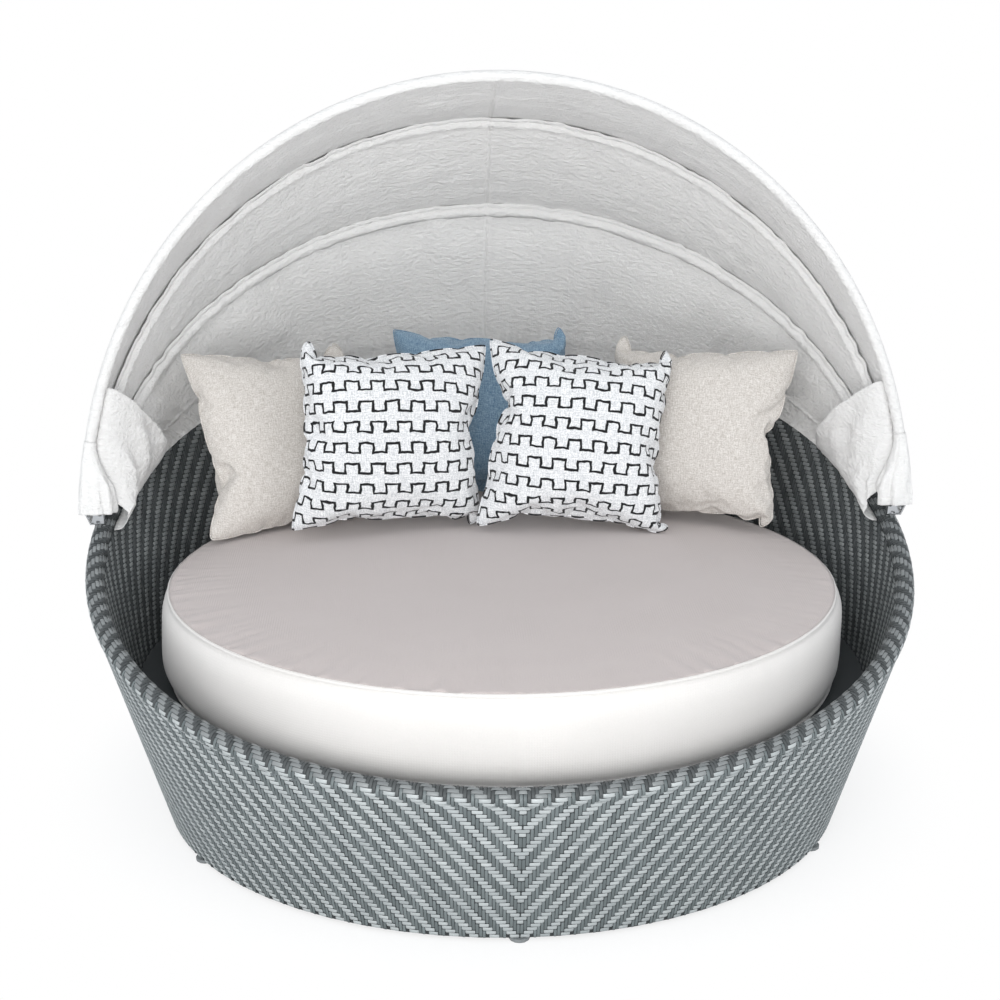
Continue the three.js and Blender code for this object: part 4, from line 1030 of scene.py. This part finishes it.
def filled_cover(points, faces, seed):
    """Cover blown up by Blender's cloth simulation, which draws in its edges and wrinkles it."""
    start = points * (COVER_SIZE / 2, 0.025, COVER_SIZE / 2)
    start[:, 1] += np.random.default_rng(seed).uniform(-1, 1, len(start)) * 0.001
    piece = new_piece("cover", start, faces, [])
    cloth = piece.modifiers.new("filling", "CLOTH")
    cloth.settings.quality = 6
    cloth.settings.mass = 0.25
    cloth.settings.tension_stiffness = cloth.settings.compression_stiffness = 25
    cloth.settings.shear_stiffness = 8
    cloth.settings.bending_stiffness = 0.05
    cloth.settings.air_damping = 1
    cloth.settings.use_pressure = True
    cloth.settings.uniform_pressure_force = 5
    cloth.settings.effector_weights.gravity = 0
    cloth.collision_settings.use_collision = False
    cloth.point_cache.frame_end = FILL_FRAMES
    for step in range(1, FILL_FRAMES + 1):
        bpy.context.scene.frame_set(step)
    shaped = piece.evaluated_get(bpy.context.evaluated_depsgraph_get()).to_mesh()
    filled = np.empty(len(points) * 3, np.float32)
    shaped.vertices.foreach_get("co", filled)
    bpy.data.objects.remove(piece)
    bpy.context.scene.frame_set(1)
    return filled.reshape(-1, 3).astype(float)


def fitted_cover(points, place, seed, faces):
    """The cover's final shape, scaled to the pillow's size and thickness."""
    half = PILLOW_SIZE / 2 - 2 * SEAM_RADIUS
    u, v = place[:, 0], place[:, 1]
    filled = filled_cover(points, faces, seed)
    filled[:, 1] *= PILLOW_THICKNESS / 2 / np.abs(filled[:, 1]).max()
    for axis, other in ((0, v), (2, u)):
        own = place[:, 0 if axis == 0 else 1]
        corner = np.abs(filled[(np.abs(u) == 1) & (np.abs(v) == 1), axis]).mean()
        middle = np.abs(filled[(np.abs(own) == 1) & (np.abs(other) < 0.1), axis]).mean()
        widen = (half / corner) * other**2 + (half - EDGE_DRAW) / middle * (1 - other**2)
        filled[:, axis] *= widen
    return filled


def edge_seam(points, edge):
    """Thin piping round the cover's edge, as rings of points, with its quads."""
    line = points[edge]
    along = unit(np.roll(line, -1, 0) - np.roll(line, 1, 0))
    level = unit(np.cross(along, (0, 1, 0)))
    over = np.cross(level, along)
    turn = np.arange(SEAM_SIDES) * 2 * math.pi / SEAM_SIDES
    rings = line[:, None] + SEAM_RADIUS * (
        np.cos(turn)[None, :, None] * level[:, None] + np.sin(turn)[None, :, None] * over[:, None])
    ring = np.arange(len(edge))[:, None]
    spoke = np.arange(SEAM_SIDES)[None]
    next_spoke = (spoke + 1) % SEAM_SIDES
    after = (ring + 1) % len(edge)
    corners = [ring * SEAM_SIDES + spoke, ring * SEAM_SIDES + next_spoke,
               after * SEAM_SIDES + next_spoke, after * SEAM_SIDES + spoke]
    return rings.reshape(-1, 3), np.stack(corners, -1).reshape(-1, 4)


def place_pillow(points, place, lean, turn, roll):
    """The pillow's points, turned and set down on the cushion."""
    turned = (Matrix.Rotation(math.radians(turn), 3, "Z") @ Matrix.Rotation(-math.radians(lean), 3, "X")
              @ Matrix.Rotation(math.radians(roll), 3, "Y"))
    points = points @ np.array(turned).T
    points[:, 0] += place[0] * CUSHION_RADIUS
    points[:, 1] += place[1] * CUSHION_RADIUS
    reach = np.hypot(points[:, 0], points[:, 1])
    points[:, 2] -= (points[:, 2] - CUSHION_TOP - crown_at(reach)).min() + PILLOW_SINK
    points[:, 1] += TUB_Y
    return points


def pillows():
    """Five pillows from three filled shapes."""
    points, place, faces, edge = flat_cover()
    shapes = {seed: fitted_cover(points.copy(), place, seed, faces) for seed in (1, 2, 3)}
    for name, values in PILLOWS.items():
        cloth, slot_name, seed = PILLOW_COVERS[name]
        seam, seam_faces = edge_seam(shapes[seed], edge)
        whole = place_pillow(np.concatenate([shapes[seed], seam]), **values)
        piece = new_piece(name.replace("pillow_", "scatter_"), whole,
                          np.concatenate([faces, seam_faces + len(points)]), [cloth])
        on_cloth = np.concatenate([place, np.repeat(place[edge], SEAM_SIDES, 0)]) * COVER_SIZE / 2
        set_values(piece, "cover_place", on_cloth, "FLOAT_VECTOR")
        smoothing = piece.modifiers.new("smooth cloth", "SUBSURF")
        smoothing.levels = smoothing.render_levels = 1
        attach(piece, "cushions")
        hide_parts(name)


# Stage

FLOOR_GLOW = 0.74
# Distances from the middle at which the floor starts to turn plain white, and is plain white
GLOW_START, GLOW_END = 0.76, 1.05
FLOOR_REACH = 9
ROOM_LIGHT = 0.84


def floor_and_backdrop():
    """White floor that keeps the object's soft shadow, and is plain white further away."""
    material, tree, _ = new_material("pale floor", 0.9)
    tree.nodes.clear()
    place = add_node(tree, "TexCoord", output="Object")
    level = add_node(tree, "VectorMath", {0: place, 1: (1, 1, 0)}, operation="MULTIPLY")
    radius = add_node(tree, "VectorMath", {0: level}, "Value", operation="LENGTH")
    away = add_node(tree, "MapRange", {"Value": radius, "From Min": GLOW_START, "From Max": GLOW_END},
                    interpolation_type="SMOOTHSTEP")
    seen = add_node(tree, "LightPath", output="Is Camera Ray")
    lit = add_node(tree, "BsdfDiffuse", {"Color": srgb("#959595")})
    glow = add_node(tree, "Emission", {"Color": (1, 1, 1, 1), "Strength": FLOOR_GLOW})
    near = add_node(tree, "AddShader", {0: lit, 1: glow})
    white = add_node(tree, "Emission", {"Color": (1, 1, 1, 1), "Strength": 1.0})
    shown = add_node(tree, "MixShader", {0: away, 1: near, 2: white})
    bounce = add_node(tree, "BsdfDiffuse", {"Color": srgb("#E6E6E6")})
    add_node(tree, "OutputMaterial", {"Surface": add_node(tree, "MixShader", {0: seen, 1: bounce, 2: shown})})
    corners = np.array([(-1, -1, 0), (1, -1, 0), (1, 1, 0), (-1, 1, 0)], float) * FLOOR_REACH
    new_piece("floor", corners, np.array([[0, 1, 2, 3]]), [material])
    world = bpy.data.worlds.new("pale room")
    bpy.context.scene.world = world
    world.use_nodes = True
    tree = world.node_tree
    tree.nodes.clear()
    seen = add_node(tree, "LightPath", output="Is Camera Ray")
    backdrop = add_node(tree, "Background", {"Color": (1, 1, 1, 1), "Strength": 1.0})
    light = add_node(tree, "Background", {"Color": (0.93, 0.96, 1, 1), "Strength": ROOM_LIGHT})
    add_node(tree, "OutputWorld", {"Surface": add_node(tree, "MixShader", {0: seen, 1: light, 2: backdrop})})


def area_light(name, place, target, size, energy):
    """White round light that is turned to a target."""
    data = bpy.data.lights.new(name, "AREA")
    data.shape = "DISK"
    data.size = size
    data.energy = energy
    light = bpy.data.objects.new(name, data)
    bpy.context.scene.collection.objects.link(light)
    light.location = place
    light.rotation_euler = (Vector(target) - Vector(place)).to_track_quat("-Z", "Y").to_euler()


def lights():
    """A large soft light from the front and two weak ones that fill the sides."""
    area_light("front light", (-0.8, -4.5, 1.5), (0, 0, 0.7), 3.4, 112)
    area_light("left light", (-2.4, -2.4, 3.6), (0, 0, 0.5), 2.2, 9)
    area_light("right fill", (3.4, -3.0, 1.8), (0, 0, 0.6), 2.4, 20)


# Camera as it was fitted to the photo: lens and sensor in millimetres, place, pitch and turn
LENS, SENSOR = 69.2, 36
CAMERA_PLACE = (-0.1847, -3.9957 + TUB_Y, 1.7702)
CAMERA_PITCH, CAMERA_TURN = -15.516, -2.59


def camera():
    data = bpy.data.cameras.new("view")
    data.lens = LENS
    data.sensor_width = SENSOR
    view = bpy.data.objects.new("view", data)
    bpy.context.scene.collection.objects.link(view)
    view.location = CAMERA_PLACE
    view.rotation_euler = (math.radians(90 + CAMERA_PITCH), 0, math.radians(CAMERA_TURN))
    bpy.context.scene.camera = view


set_cad_materials()
woven_wall("outer_weave_straps", inside=False)
woven_wall("inner_weave_straps", inside=True)
rim_braid()
canopy_sheets()
sleeve("sleeve_front", "front_bow", 61, front_reach=0, rear_reach=0.030, sheet_front=0, sheet_rear=0.28)
for bow_place, bow_seed in (("middle", 64), ("rear", 67)):
    sleeve(f"sleeve_{bow_place}", f"{bow_place}_bow", bow_seed, front_reach=0.024, rear_reach=0.024,
           sheet_front=0.28, sheet_rear=0.28)
rear_skirt()
for end in (1, -1):
    canopy_tail(end)
    side_flap(end)
seat_cushion()
pillows()
floor_and_backdrop()
lights()
camera()
bpy.context.scene.view_settings.view_transform = "Standard"
